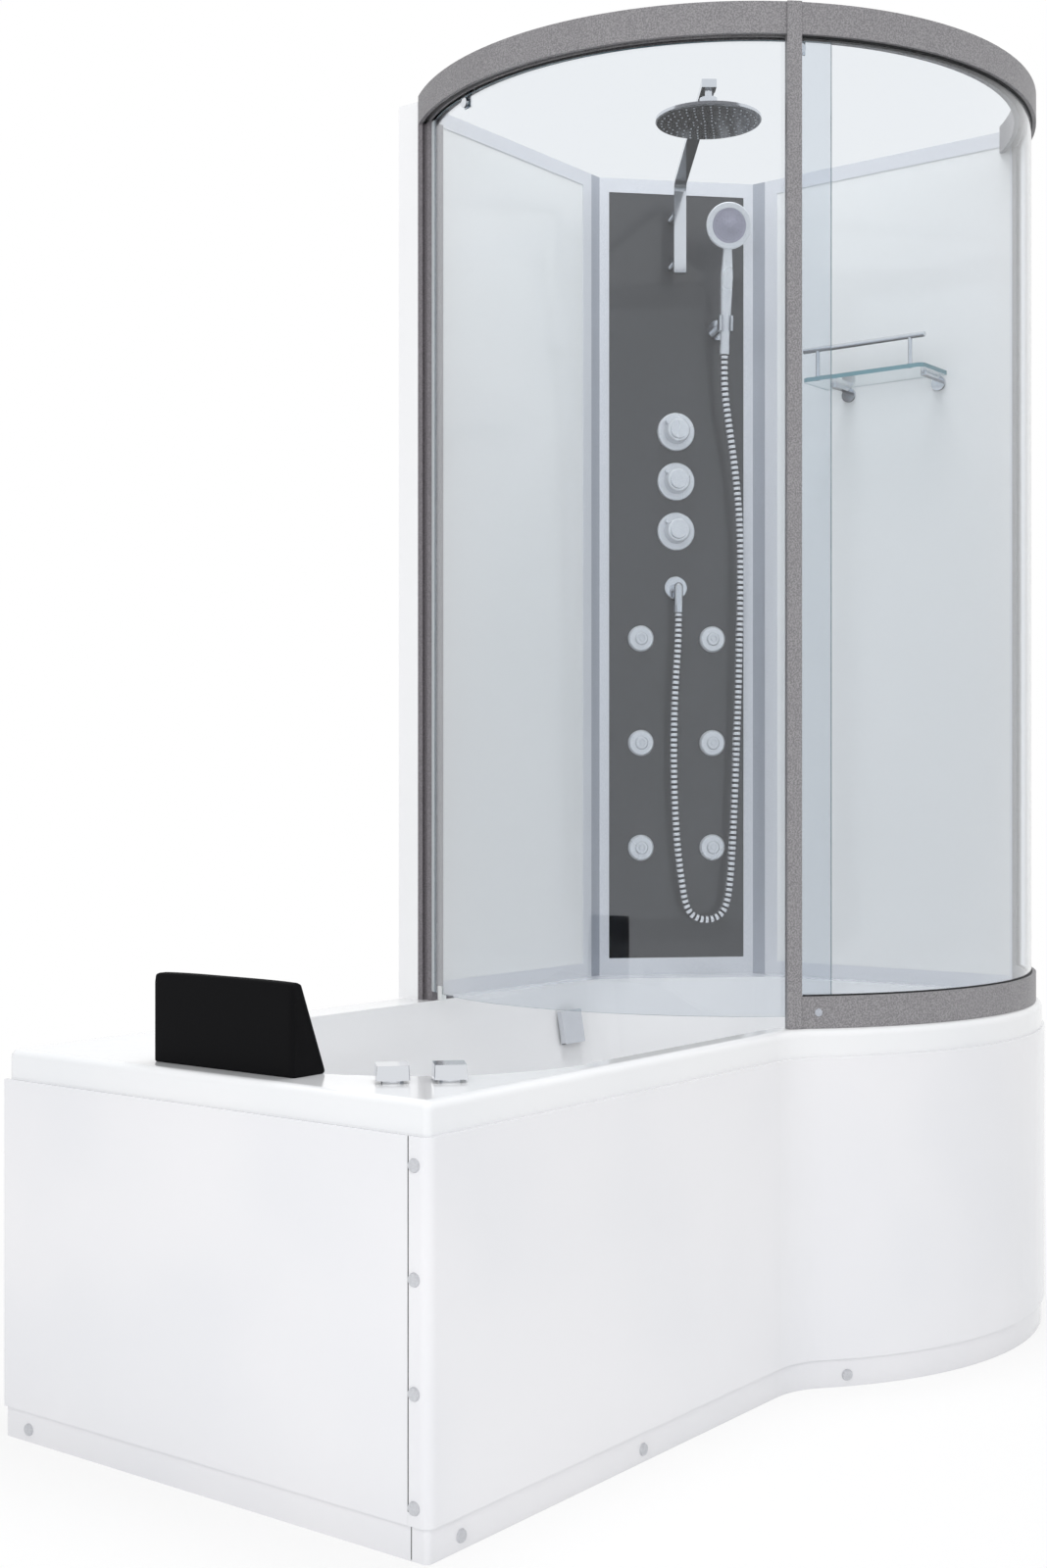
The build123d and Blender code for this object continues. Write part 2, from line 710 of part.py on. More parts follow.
# Waste, overflow and plug
trap_radius = 42
trap_bottom = 18
neck_radius = 30
floor_underside = floor_height - basin_wall
trap_top = 100
outlet_radius = 20
outlet_height = 44
outlet_end = 340
outlet_stub = 40
outlet_collar = 24
outlet_collar_length = 12
overflow_pipe_radius = 12
overflow_reach = 32
overflow_pipe_height = floor_underside - overflow_pipe_radius - 2.5
overflow_collar = 26
overflow_spindle = 5
overflow_plate_size = 64
overflow_plate_thickness = 10
sleeve_length = 24
plug_radius = 32
plug_lift = 10
plug_stem = 4
guide_radius = 8
waste_bore = drain_bore - 4
overflow_elbow = behind(overflow_plane, overflow_reach)
with BuildPart() as waste_and_overflow:
    with BuildSketch(Plane.XY.offset(trap_bottom)):
        with Locations((drain_x, drain_y)):
            Circle(trap_radius)
    extrude(amount=trap_top - trap_bottom)
    fillet(waste_and_overflow.edges().filter_by(GeomType.CIRCLE), 8)
    with BuildSketch(Plane.XY.offset(trap_top)):
        with Locations((drain_x, drain_y)):
            Circle(neck_radius)
    extrude(amount=floor_underside - trap_top)
    with BuildSketch(Plane((drain_x, drain_y, outlet_height), x_dir=(1, 0, 0), z_dir=(0, 1, 0))):
        Circle(outlet_radius)
    extrude(amount=outlet_end - drain_y)
    with BuildSketch(Plane((drain_x, outlet_end - outlet_stub, outlet_height), x_dir=(1, 0, 0),
                           z_dir=(0, 1, 0))):
        Circle(outlet_collar)
    extrude(amount=-outlet_collar_length)
    with BuildLine() as overflow_path:
        FilletPolyline((drain_x, drain_y, overflow_pipe_height),
                       (drain_x, overflow_elbow.Y, overflow_pipe_height),
                       (drain_x, overflow_elbow.Y, overflow_elbow.Z), radius=30)
    with BuildSketch(Plane(overflow_path.wire() @ 0, z_dir=overflow_path.wire() % 0)):
        Circle(overflow_pipe_radius)
    sweep(path=overflow_path.wire())
    with BuildSketch(overflow_plane.offset(-basin_wall)):
        Circle(overflow_collar)
    extrude(amount=basin_wall - overflow_reach - overflow_pipe_radius)
    with BuildSketch(overflow_plane.offset(4)):
        Circle(overflow_radius - panel_gap)
    extrude(amount=-overflow_reach)
    with BuildSketch(overflow_plane.offset(4)):
        Circle(overflow_spindle + running_gap)
    extrude(amount=-overflow_reach, mode=Mode.SUBTRACT)
    with BuildSketch(Plane.XY.offset(floor_underside)):
        with Locations((drain_x, drain_y)):
            Circle(drain_bore)
    extrude(amount=outlet_height - floor_underside, mode=Mode.SUBTRACT)
    with BuildSketch(Plane((drain_x, drain_y, outlet_height), x_dir=(1, 0, 0), z_dir=(0, 1, 0))):
        Circle(outlet_radius - 2.5)
    extrude(amount=outlet_end - drain_y, mode=Mode.SUBTRACT)
waste_and_overflow.part.label = "waste_and_overflow"
export_step(waste_and_overflow.part, "parts/waste_and_overflow.step")

with BuildPart() as overflow_plate:
    with BuildSketch(overflow_plane.offset(4 + panel_gap)):
        RectangleRounded(overflow_plate_size, overflow_plate_size, 3)
    extrude(amount=overflow_plate_thickness, taper=3)
    with BuildSketch(overflow_plane.offset(4 + panel_gap)):
        Circle(overflow_spindle)
    extrude(amount=-0.75 * overflow_reach)
overflow_plate.part.label = "overflow_plate"
export_step(overflow_plate.part, "parts/overflow_plate.step")

drain_centre = (drain_x, drain_y)
guide_height = floor_height - 18
with BuildPart() as drain_flange:
    with BuildSketch(Plane.XY.offset(floor_height)):
        with Locations(drain_centre):
            Circle(drain_flange_radius)
    extrude(amount=drain_flange_thickness)
    with BuildSketch(Plane.XY.offset(floor_height)):
        with Locations(drain_centre):
            Circle(drain_bore - panel_gap)
    extrude(amount=-sleeve_length)
    with BuildSketch(Plane.XY.offset(floor_height + drain_flange_thickness)):
        with Locations(drain_centre):
            Circle(waste_bore)
    extrude(amount=-sleeve_length - drain_flange_thickness, mode=Mode.SUBTRACT)
    with BuildSketch(Plane.XY.offset(guide_height)):
        with Locations(drain_centre):
            Rectangle(2 * waste_bore + 2, 5)
            Rectangle(5, 2 * waste_bore + 2)
            Circle(guide_radius)
            Circle(plug_stem + running_gap, mode=Mode.SUBTRACT)
    extrude(amount=8)
drain_flange.part.label = "drain_flange"
export_step(drain_flange.part, "parts/drain_flange.step")

plug_bottom = floor_height + drain_flange_thickness + panel_gap
with BuildPart() as drain_plug:
    with BuildSketch(Plane.XY.offset(plug_bottom)):
        with Locations(drain_centre):
            Circle(plug_radius)
    extrude(amount=7)
    fillet(drain_plug.edges().group_by(Axis.Z)[-1], 4)
    with BuildSketch(Plane.XY.offset(plug_bottom)):
        with Locations(drain_centre):
            Circle(plug_stem)
    extrude(amount=-plug_bottom + guide_height - plug_lift)
drain_plug.part.label = "drain_plug"
export_step(drain_plug.part, "parts/drain_plug.step")

# Wall panels in their frames
back_wall_left = profile_left
back_wall_right = column_left.X - corner_width
end_wall_rear = column_right.Y - corner_width
rail_outer = bulge_radius - rail_setback
rail_inner = rail_outer - rail_width
end_wall_front = cabin_y - sqrt(rail_outer**2 - (wall_face_x - cabin_x) ** 2)
back_wall_plane = Plane((0, wall_face_y, 0), x_dir=(1, 0, 0), z_dir=(0, 1, 0))
end_wall_plane = Plane((wall_face_x, 0, 0), x_dir=(0, 1, 0), z_dir=(1, 0, 0))
wall_height = wall_top - rim_height
wall_middle = (wall_top + rim_height) / 2
back_wall_middle = (back_wall_left + back_wall_right) / 2
back_wall_width = back_wall_right - back_wall_left
end_wall_middle = (end_wall_front + end_wall_rear) / 2
end_wall_width = end_wall_rear - end_wall_front
window_height = wall_height - 2 * wall_border

with BuildPart() as wall_frames:
    with BuildSketch(Plane.XY.offset(rim_height)):
        with Locations((back_wall_middle, wall_face_y + wall_thickness / 2)):
            Rectangle(back_wall_width, wall_thickness)
    extrude(amount=wall_height)
    with BuildSketch(Plane.XY.offset(rim_height)):
        with Locations((wall_face_x + wall_thickness / 2, end_wall_middle)):
            Rectangle(wall_thickness, end_wall_width)
        with Locations((cabin_x, cabin_y)):
            Circle(rail_outer, mode=Mode.INTERSECT)
    extrude(amount=wall_height)
    with BuildSketch(back_wall_plane):
        with Locations((back_wall_middle, -wall_middle)):
            Rectangle(back_wall_width - 2 * wall_border, window_height)
    extrude(amount=wall_thickness, mode=Mode.SUBTRACT)
    with BuildSketch(end_wall_plane):
        with Locations((end_wall_middle, wall_middle)):
            Rectangle(end_wall_width - 2 * wall_border, window_height)
    extrude(amount=wall_thickness, mode=Mode.SUBTRACT)
wall_frames.part.label = "wall_frames"
export_step(wall_frames.part, "parts/wall_frames.step")

with BuildPart() as back_wall_panel:
    with BuildSketch(back_wall_plane.offset(panel_recess)):
        with Locations((back_wall_middle, -wall_middle)):
            Rectangle(back_wall_width - 2 * wall_border, window_height)
    extrude(amount=panel_thickness)
back_wall_panel.part.label = "back_wall_panel"
export_step(back_wall_panel.part, "parts/back_wall_panel.step")

with BuildPart() as end_wall_panel:
    with BuildSketch(end_wall_plane.offset(panel_recess)):
        with Locations((end_wall_middle, wall_middle)):
            Rectangle(end_wall_width - 2 * wall_border, window_height)
    extrude(amount=panel_thickness)
end_wall_panel.part.label = "end_wall_panel"
export_step(end_wall_panel.part, "parts/end_wall_panel.step")

# Corner profiles: each covers the edge of a wall and the side of the column
left_return = column_left - column_out * corner_return
right_return = column_right - column_out * corner_return
with BuildPart() as corner_profiles:
    with BuildSketch(Plane.XY.offset(rim_height)):
        with BuildLine():
            Polyline((back_wall_right, wall_face_y), (column_left.X, column_left.Y),
                     (left_return.X, left_return.Y), (left_return.X, back),
                     (back_wall_right, back), close=True)
        make_face()
        with BuildLine():
            Polyline((wall_face_x, end_wall_rear), (column_right.X, column_right.Y),
                     (right_return.X, right_return.Y), (right, right_return.Y),
                     (right, end_wall_rear), close=True)
        make_face()
    extrude(amount=wall_height)
corner_profiles.part.label = "corner_profiles"
export_step(corner_profiles.part, "parts/corner_profiles.step")

# Shower column
column_middle = column_width / 2
column_panel_bottom = rim_height + column_foot
column_panel_top = wall_top - wall_border
column_panel_width = column_width - 2 * column_side
column_panel_height = column_panel_top - column_panel_bottom
column_panel_middle = (column_panel_top + column_panel_bottom) / 2
control_t = 156
control_heights = [1650, 1550, 1450]
spindle_radius = 5
rosette_radius = 38
rosette_height = 8
jet_ts = [84, 231]
column_jet_heights = [1234, 1025, 815]
jet_ring_radius = 26
jet_ring_height = 10
nozzle_radius = 14
nozzle_off = 4
nozzle_face_off = 13
nozzle_back_off = -4
jet_hole_radius = 16
outlet_t = 155
hose_outlet_height = 1336
hose_tail_radius = 10
arm_t = 151
arm_mount_heights = [2079, 1984]
arm_tail_radius = 8
inlay_left = column_side
inlay_width = 42
inlay_height = 85
spindle_hole = spindle_radius + 1
control_places = [(control_t, height) for height in control_heights]
jet_spots = [(t, height) for height in column_jet_heights for t in jet_ts]
arm_places = [(arm_t, height) for height in arm_mount_heights]

column_face = column_plane(0, 0, 0)
panel_plane = column_plane(0, panel_face, 0)
with BuildPart() as column_frame:
    with BuildSketch(column_face):
        with Locations((column_middle, wall_middle)):
            Rectangle(column_width, wall_height)
        with Locations((column_middle, column_panel_middle)):
            Rectangle(column_panel_width, column_panel_height, mode=Mode.SUBTRACT)
    extrude(amount=-column_depth)
column_frame.part.label = "column_frame"
export_step(column_frame.part, "parts/column_frame.step")

with BuildPart() as column_panel:
    with BuildSketch(panel_plane):
        with Locations((column_middle, column_panel_middle)):
            Rectangle(column_panel_width, column_panel_height)
        with Locations(*control_places):
            Circle(spindle_hole, mode=Mode.SUBTRACT)
        with Locations(*jet_spots):
            Circle(jet_hole_radius, mode=Mode.SUBTRACT)
        with Locations((outlet_t, hose_outlet_height)):
            Circle(hose_tail_radius + panel_gap, mode=Mode.SUBTRACT)
        with Locations(*arm_places):
            Circle(arm_tail_radius + panel_gap, mode=Mode.SUBTRACT)
    extrude(amount=-panel_thickness)
column_panel.part.label = "column_panel"
export_step(column_panel.part, "parts/column_panel.step")

with BuildPart() as column_inlay:
    with BuildSketch(panel_plane):
        with Locations((inlay_left + inlay_width / 2, column_panel_bottom + inlay_height / 2)):
            Rectangle(inlay_width, inlay_height)
    extrude(amount=panel_recess)
column_inlay.part.label = "column_inlay"
export_step(column_inlay.part, "parts/column_inlay.step")

# Mixer and its water ways behind the panel
panel_back = panel_face - panel_thickness
manifold_off = -52
manifold_radius = 20
manifold_t = column_middle
manifold_bottom = 740
manifold_top = 2110
collar_radius = 12
jet_cup_radius = 22
jet_cup_depth = 14
branch_radius = 8
inlet_radius = 10.5
inlet_collar = 14
inlet_shoulder = 18
inlet_length = 20
inlet_spread = 50
inlet_height = 1500
manifold_front = manifold_off + manifold_radius
manifold_bar = column_plane(0, manifold_off, 0)
cup_front = panel_back
with BuildPart() as mixer_manifold:
    with BuildSketch(Plane(column_point(manifold_t, manifold_off, manifold_bottom), x_dir=column_along)):
        Circle(manifold_radius)
    extrude(amount=manifold_top - manifold_bottom)
    with BuildSketch(manifold_bar):
        with Locations(*control_places):
            Circle(collar_radius)
    extrude(amount=panel_back - panel_gap - manifold_off)
    for height in column_jet_heights:
        with BuildSketch(Plane(column_point(jet_ts[0], manifold_off, height), x_dir=column_out,
                               z_dir=column_along)):
            Circle(branch_radius)
        extrude(amount=jet_ts[1] - jet_ts[0])
    with BuildSketch(manifold_bar):
        with Locations(*jet_spots):
            Circle(branch_radius)
    extrude(amount=cup_front - jet_cup_depth - manifold_off + 1)
    with BuildSketch(column_plane(0, cup_front, 0)):
        with Locations(*jet_spots):
            Circle(jet_cup_radius)
    extrude(amount=-jet_cup_depth)
    with BuildSketch(column_plane(0, cup_front, 0)):
        with Locations(*jet_spots):
            Circle(jet_hole_radius)
    extrude(amount=-jet_cup_depth / 2, mode=Mode.SUBTRACT)
    with BuildSketch(Plane(column_point(manifold_t - inlet_spread, manifold_off, inlet_height),
                           x_dir=column_out, z_dir=column_along)):
        Circle(inlet_radius)
    extrude(amount=2 * inlet_spread)
    for side in (-inlet_spread, inlet_spread):
        with BuildSketch(column_plane(0, manifold_off, 0)):
            with Locations((manifold_t + side, inlet_height)):
                Circle(inlet_collar)
        extrude(amount=-inlet_shoulder)
        with BuildSketch(column_plane(0, manifold_off - inlet_shoulder, 0)):
            with Locations((manifold_t + side, inlet_height)):
                Circle(inlet_radius)
        extrude(amount=-inlet_length)
    with BuildSketch(column_plane(0, panel_back, 0)):
        with Locations(*control_places):
            Circle(spindle_radius + running_gap)
    extrude(amount=manifold_off - panel_back, mode=Mode.SUBTRACT)
mixer_manifold.part.label = "mixer_manifold"
export_step(mixer_manifold.part, "parts/mixer_manifold.step")

with BuildPart() as column_rosettes:
    with BuildSketch(panel_plane):
        with Locations(*control_places):
            Circle(rosette_radius)
            Circle(spindle_hole, mode=Mode.SUBTRACT)
    extrude(amount=rosette_height)
    outer_edges = column_rosettes.edges().filter_by(GeomType.CIRCLE)
    outer_edges = outer_edges.filter_by(lambda edge: edge.radius > rosette_radius - 1)
    front_edges = outer_edges.filter_by(lambda edge: column_plane(0, 0, 0).to_local_coords(edge.center()).Z > 0)
    fillet(front_edges, 3)
    for t, height in jet_spots:
        with BuildSketch(section_across(t, height)):
            with Locations((jet_ring_radius / 2, panel_face + jet_ring_height / 2)):
                Rectangle(jet_ring_radius, jet_ring_height)
            with Locations((0, nozzle_off)):
                Circle(nozzle_radius + panel_gap, mode=Mode.SUBTRACT)
            outer_corner = (jet_ring_radius, panel_face + jet_ring_height)
            with BuildLine():
                Polyline(outer_corner, (jet_ring_radius - 3, outer_corner[1]),
                         (jet_ring_radius, outer_corner[1] - 4), close=True)
            make_face(mode=Mode.SUBTRACT)
        revolve(axis=Axis(column_point(t, 0, height), column_out))
column_rosettes.part.label = "column_rosettes"
export_step(column_rosettes.part, "parts/column_rosettes.step")

# Three turning controls, each with a pointer towards the upper left
knob_base_off = panel_face + rosette_height + panel_gap
control_radius = 25
control_height = 24
pointer_angle = 135
pointer_reach = 32
pointer_width = 9
pointer_height = 14
for name, height in zip(("upper_knob", "middle_knob", "lower_knob"), control_heights):
    knob_plane = column_plane(control_t, knob_base_off, height)
    with BuildPart() as control:
        with BuildSketch(knob_plane):
            Circle(control_radius)
        extrude(amount=control_height, taper=5)
        fillet(control.edges().filter_by(GeomType.CIRCLE).sort_by(Axis(knob_plane.origin, column_out))[-1], 4)
        with BuildSketch(knob_plane):
            with Locations(Location((0, 0, 0), (0, 0, pointer_angle))):
                with Locations((pointer_reach / 2, 0)):
                    RectangleRounded(pointer_reach, pointer_width, 3)
        extrude(amount=pointer_height)
        with BuildSketch(knob_plane):
            Circle(spindle_radius)
        extrude(amount=manifold_off / 2 - knob_base_off)
    control.part.label = name
    export_step(control.part, f"parts/{name}.step")

# Six body jets: balls that swivel in the rings
nozzle_length = nozzle_face_off - nozzle_back_off
nozzle_middle = (nozzle_face_off + nozzle_back_off) / 2
groove_radius = 5.5
groove_width = 3
for index, (t, height) in enumerate(jet_spots, start=1):
    with BuildPart() as nozzle:
        with BuildSketch(section_across(t, height)):
            with Locations((0, nozzle_off)):
                Circle(nozzle_radius)
            with Locations((nozzle_radius / 2, nozzle_middle)):
                Rectangle(nozzle_radius, nozzle_length, mode=Mode.INTERSECT)
            with Locations((groove_radius, nozzle_face_off)):
                Rectangle(groove_width, 2 * groove_width, mode=Mode.SUBTRACT)
        revolve(axis=Axis(column_point(t, 0, height), column_out))
    nozzle.part.label = f"jet_nozzle_{index}"
    export_step(nozzle.part, f"parts/jet_nozzle_{index}.step")

# Hose outlet: a rosette with an elbow that points down
outlet_rosette = 24
outlet_rosette_height = 10
outlet_off = 30
outlet_exit_height = 1285
elbow_radius = 9
outlet_nut_radius = 10
outlet_nut_height = 14
with BuildPart() as hose_outlet:
    with BuildSketch(column_plane(outlet_t, panel_face, hose_outlet_height)):
        Circle(outlet_rosette)
    extrude(amount=outlet_rosette_height)
    fillet(hose_outlet.edges().filter_by(GeomType.CIRCLE).sort_by(Axis((0, 0, 0), column_out))[-1], 4)
    with BuildSketch(column_plane(outlet_t, panel_face, hose_outlet_height)):
        Circle(hose_tail_radius)
    extrude(amount=manifold_front - panel_face + panel_gap)
    with BuildSketch(column_plane(outlet_t, panel_face, hose_outlet_height)):
        Circle(elbow_radius)
    extrude(amount=outlet_off - panel_face)
    with Locations(column_point(outlet_t, outlet_off, hose_outlet_height)):
        Sphere(elbow_radius)
    with BuildSketch(Plane(column_point(outlet_t, outlet_off, outlet_exit_height), x_dir=column_along)):
        Circle(elbow_radius)
    extrude(amount=hose_outlet_height - outlet_exit_height)
    with BuildSketch(Plane(column_point(outlet_t, outlet_off, outlet_exit_height), x_dir=column_along)):
        RegularPolygon(outlet_nut_radius, 6)
    extrude(amount=outlet_nut_height)
hose_outlet.part.label = "hose_outlet"
export_step(hose_outlet.part, "parts/hose_outlet.step")

# Shower arm: a flat bar that rises beside the column and runs out over the bath
arm_heading = 218
arm_width = 24
arm_thickness = 12
arm_off = 60
arm_bottom = 1954
arm_top = 2140
arm_length = 562
arm_bend = 26
arm_end_length = 28
arm_end_height = 14
head_reach = 548
arm_stem_radius = 7
head_ball_radius = 9
head_ball_height = 2106
arm_direction = plan_direction(arm_heading)
arm_foot = column_point(arm_t, arm_off, 0)
arm_plane = Plane(arm_foot, x_dir=arm_direction, z_dir=(arm_direction.Y, -arm_direction.X, 0))
head_centre = arm_foot + arm_direction * head_reach
mount_height = 8
mount_radius = 13
with BuildPart() as shower_arm:
    with BuildSketch(arm_plane):
        with BuildLine():
            FilletPolyline((0, arm_bottom), (0, arm_top - arm_thickness / 2),
                           (arm_length, arm_top - arm_thickness / 2), radius=arm_bend - arm_thickness / 2)
        trace(line_width=arm_thickness)
    extrude(amount=arm_width / 2, both=True)
    with BuildSketch(arm_plane):
        with Locations((arm_length - arm_end_length / 2, arm_top - arm_end_height / 2)):
            Rectangle(arm_end_length, arm_end_height)
    extrude(amount=arm_width / 2 + 0.5, both=True)
    with BuildSketch(Plane((head_centre.X, head_centre.Y, head_ball_height))):
        Circle(arm_stem_radius - 1)
    extrude(amount=arm_top - arm_end_height - head_ball_height)
    with Locations((head_centre.X, head_centre.Y, head_ball_height)):
        Sphere(head_ball_radius)
    with BuildSketch(column_plane(0, panel_face + mount_height, 0)):
        with Locations(*arm_places):
            Circle(arm_stem_radius)
    extrude(amount=arm_off - panel_face - mount_height)
shower_arm.part.label = "shower_arm"
export_step(shower_arm.part, "parts/shower_arm.step")

with BuildPart() as arm_mounts:
    with BuildSketch(panel_plane):
        with Locations(*arm_places):
            Circle(mount_radius)
    extrude(amount=mount_height)
    with BuildSketch(panel_plane):
        with Locations(*arm_places):
            Circle(arm_tail_radius)
    extrude(amount=manifold_front - panel_face + panel_gap)
arm_mounts.part.label = "arm_mounts"
export_step(arm_mounts.part, "parts/arm_mounts.step")

# Rain head: a round disc with a dished back, on the arm's ball
head_radius = 90
head_underside = 2070
head_rim = 7
head_boss_radius = 15
head_boss_top = 2111
head_dish = 12
ball_gap = 0.3
with BuildPart() as rain_head:
    with BuildSketch(Plane((head_centre.X, head_centre.Y, 0), x_dir=arm_direction,
                           z_dir=(arm_direction.Y, -arm_direction.X, 0))):
        with BuildLine():
            Line((0, head_underside), (head_radius - 2, head_underside))
            Line((head_radius - 2, head_underside), (head_radius, head_underside + 2))
            Line((head_radius, head_underside + 2), (head_radius, head_underside + head_rim))
            ThreePointArc((head_radius, head_underside + head_rim),
                          (head_radius / 2, head_underside + head_rim + 5),
                          (head_boss_radius, head_underside + head_rim + head_dish))
            Line((head_boss_radius, head_underside + head_rim + head_dish), (head_boss_radius, head_boss_top))
            Line((head_boss_radius, head_boss_top), (0, head_boss_top))
            Line((0, head_boss_top), (0, head_underside))
        make_face()
        with Locations((0, head_ball_height)):
            Circle(head_ball_radius + ball_gap, mode=Mode.SUBTRACT)
    revolve(axis=Axis((head_centre.X, head_centre.Y, 0), (0, 0, 1)))
rain_head.part.label = "rain_head"
export_step(rain_head.part, "parts/rain_head.step")

# Handset: a tapered stick with a round head, leaning out of its holder
handset_t = 242
handset_off = 58
handset_bottom = 1797
handset_lean = 7
handset_nut_radius = 9.5
handset_nut_height = 18
handle_low_radius = 8.8
handle_high_radius = 12.5
handle_length = 150
handle_neck_radius = 7.5
head_forward = 4
handset_head_reach = 248
handset_head_radius = 45.5
spray_radius = 34.5
spray_recess = 1.2
head_front = 7
head_back = 12
handset_axis = Vector(0, 0, 1) * cos(radians(handset_lean)) + column_out * sin(radians(handset_lean))
handset_normal = column_out * cos(radians(handset_lean)) - Vector(0, 0, 1) * sin(radians(handset_lean))
handset_foot = column_point(handset_t, handset_off, handset_bottom)
handset_head = handset_foot + handset_axis * handset_head_reach + handset_normal * head_forward
handle_taper = (handle_high_radius - handle_low_radius) / (handle_length - handset_nut_height)


def handle_radius(reach):
    """Radius of the handle at a distance along it."""
    return handle_low_radius + (reach - handset_nut_height) * handle_taper


def about_handset(origin, reach_axis):
    """Plane with x along the column and y along one of the handset's axes."""
    return Plane(origin, x_dir=column_along, z_dir=column_along.cross(reach_axis))


with BuildPart() as handset:
    with BuildSketch(about_handset(handset_foot, handset_axis)):
        with BuildLine():
            Polyline((0, 0), (handset_nut_radius, 0), (handset_nut_radius, handset_nut_height),
                     (handle_low_radius, handset_nut_height), (handle_high_radius, handle_length),
                     (handle_neck_radius, handset_head_reach - 25), (0, handset_head_reach - 25),
                     close=True)
        make_face()
    revolve(axis=Axis(handset_foot, handset_axis))
    with BuildSketch(about_handset(handset_head, handset_normal)):
        with BuildLine():
            Polyline((0, -head_back), (0, head_front - spray_recess), (spray_radius, head_front - spray_recess),
                     (spray_radius, head_front), (handset_head_radius - 2, head_front),
                     (handset_head_radius, head_front - 2), (handset_head_radius, 0))
            ThreePointArc((handset_head_radius, 0), (0.6 * handset_head_radius, 0.25 - 0.7 * head_back),
                          (0, -head_back))
        make_face()
    revolve(axis=Axis(handset_head, handset_normal))
handset.part.label = "handset"
export_step(handset.part, "parts/handset.step")

# Handset holder: a base on the panel and an open cradle for the handle
cradle_reach = 60
cradle_height = 30
cradle_wall = 5
cradle_slot = 17
holder_base_radius = 20
holder_arm_radius = 10
cradle_centre = handset_foot + handset_axis * cradle_reach
cradle_bottom = cradle_reach - cradle_height / 2
cradle_top = cradle_reach + cradle_height / 2
cradle_outer = handle_radius(cradle_top) + panel_gap + cradle_wall
cradle_plane = Plane(handset_foot + handset_axis * cradle_bottom, x_dir=column_along, z_dir=handset_axis)
with BuildPart() as handset_holder:
    with BuildSketch(column_plane(handset_t, panel_face, cradle_centre.Z)):
        Circle(holder_base_radius)
    extrude(amount=rosette_height)
    with BuildSketch(column_plane(handset_t, panel_face, cradle_centre.Z)):
        Circle(holder_arm_radius)
    extrude(amount=handset_off - panel_face - 4)
    with BuildSketch(cradle_plane):
        Circle(cradle_outer)
    extrude(amount=cradle_height)
    with BuildSketch(about_handset(handset_foot, handset_axis)):
        with BuildLine():
            Polyline((0, cradle_bottom - 8), (handle_radius(cradle_bottom - 8) + panel_gap, cradle_bottom - 8),
                     (handle_radius(cradle_top + 8) + panel_gap, cradle_top + 8), (0, cradle_top + 8),
                     close=True)
        make_face()
    revolve(axis=Axis(handset_foot, handset_axis), mode=Mode.SUBTRACT)
    with BuildSketch(cradle_plane):
        with Locations((0, -cradle_outer)):
            Rectangle(cradle_slot, 2 * cradle_outer)
    extrude(amount=cradle_height, mode=Mode.SUBTRACT)
handset_holder.part.label = "handset_holder"
export_step(handset_holder.part, "parts/handset_holder.step")

# Ribbed hose, from the outlet down in a bend and up to the handset
hose_radius = 7.5
hose_groove_radius = 6.3
hose_bore_radius = 4.5
hose_ribs = 110
rib_land = 0.5
rib_flank = 0.14
hose_end_angle = 0.45
hose_route = [
    (155, 1285, 30), (155, 1230, 30), (147, 1130, 32), (144, 990, 32), (149, 850, 32), (160, 751, 32),
    (171, 691, 32), (195.7, 672, 32), (226.9, 672, 32), (251.3, 691.6, 32), (261, 752, 32),
    (267, 860, 32), (272.5, 1000, 32), (277.5, 1160, 32.5), (281, 1320, 34), (280, 1450, 36),
    (270, 1560, 39.5), (254, 1660, 45.5), (242, 1738, 50.8), (242, 1797, 58),
]
hose_points = [column_point(t, off, height) for t, height, off in hose_route]
hose_points[-1] = handset_foot
hose_points[-2] = handset_foot - handset_axis * 59
hose_radii = []
for before, corner, after in zip(hose_points, hose_points[1:], hose_points[2:]):
    shorter = min((corner - before).length, (after - corner).length)
    half_turn = radians((corner - before).get_angle(after - corner)) / 2
    hose_radii.append(hose_end_angle * shorter / tan(half_turn))
with BuildLine() as hose_line:
    FilletPolyline(*hose_points, radius=hose_radii)
hose_path = hose_line.wire()
hose_length = hose_path.length
rib_pitch = (hose_length - 4 * hose_radius) / hose_ribs


def hose_section(distance, radius):
    """Circle across the hose at a distance from its outlet."""
    share = distance / hose_length
    with BuildSketch(Plane(hose_path @ share, x_dir=column_out, z_dir=hose_path % share)) as section:
        Circle(radius)
    return section.sketch


hose_sections = [hose_section(0, hose_radius), hose_section(2 * hose_radius - 0.5, hose_radius)]
for rib in range(hose_ribs):
    start = 2 * hose_radius + rib * rib_pitch
    hose_sections.append(hose_section(start, hose_groove_radius))
    hose_sections.append(hose_section(start + rib_flank * rib_pitch, hose_radius))
    hose_sections.append(hose_section(start + (rib_flank + rib_land) * rib_pitch, hose_radius))
    hose_sections.append(hose_section(start + (2 * rib_flank + rib_land) * rib_pitch, hose_groove_radius))
hose_sections.append(hose_section(hose_length - 2 * hose_radius + 0.5, hose_radius))
hose_sections.append(hose_section(hose_length, hose_radius))
with BuildPart() as shower_hose:
    loft(hose_sections, ruled=True)
    with BuildSketch(Plane(hose_path @ 0, x_dir=column_out, z_dir=hose_path % 0)):
        Circle(hose_bore_radius)
    sweep(path=hose_path, mode=Mode.SUBTRACT)
shower_hose.part.label = "shower_hose"
export_step(shower_hose.part, "parts/shower_hose.step")
print("hose length", round(hose_length), "radii", [round(radius) for radius in hose_radii])
print("hose volume", round(shower_hose.part.volume))

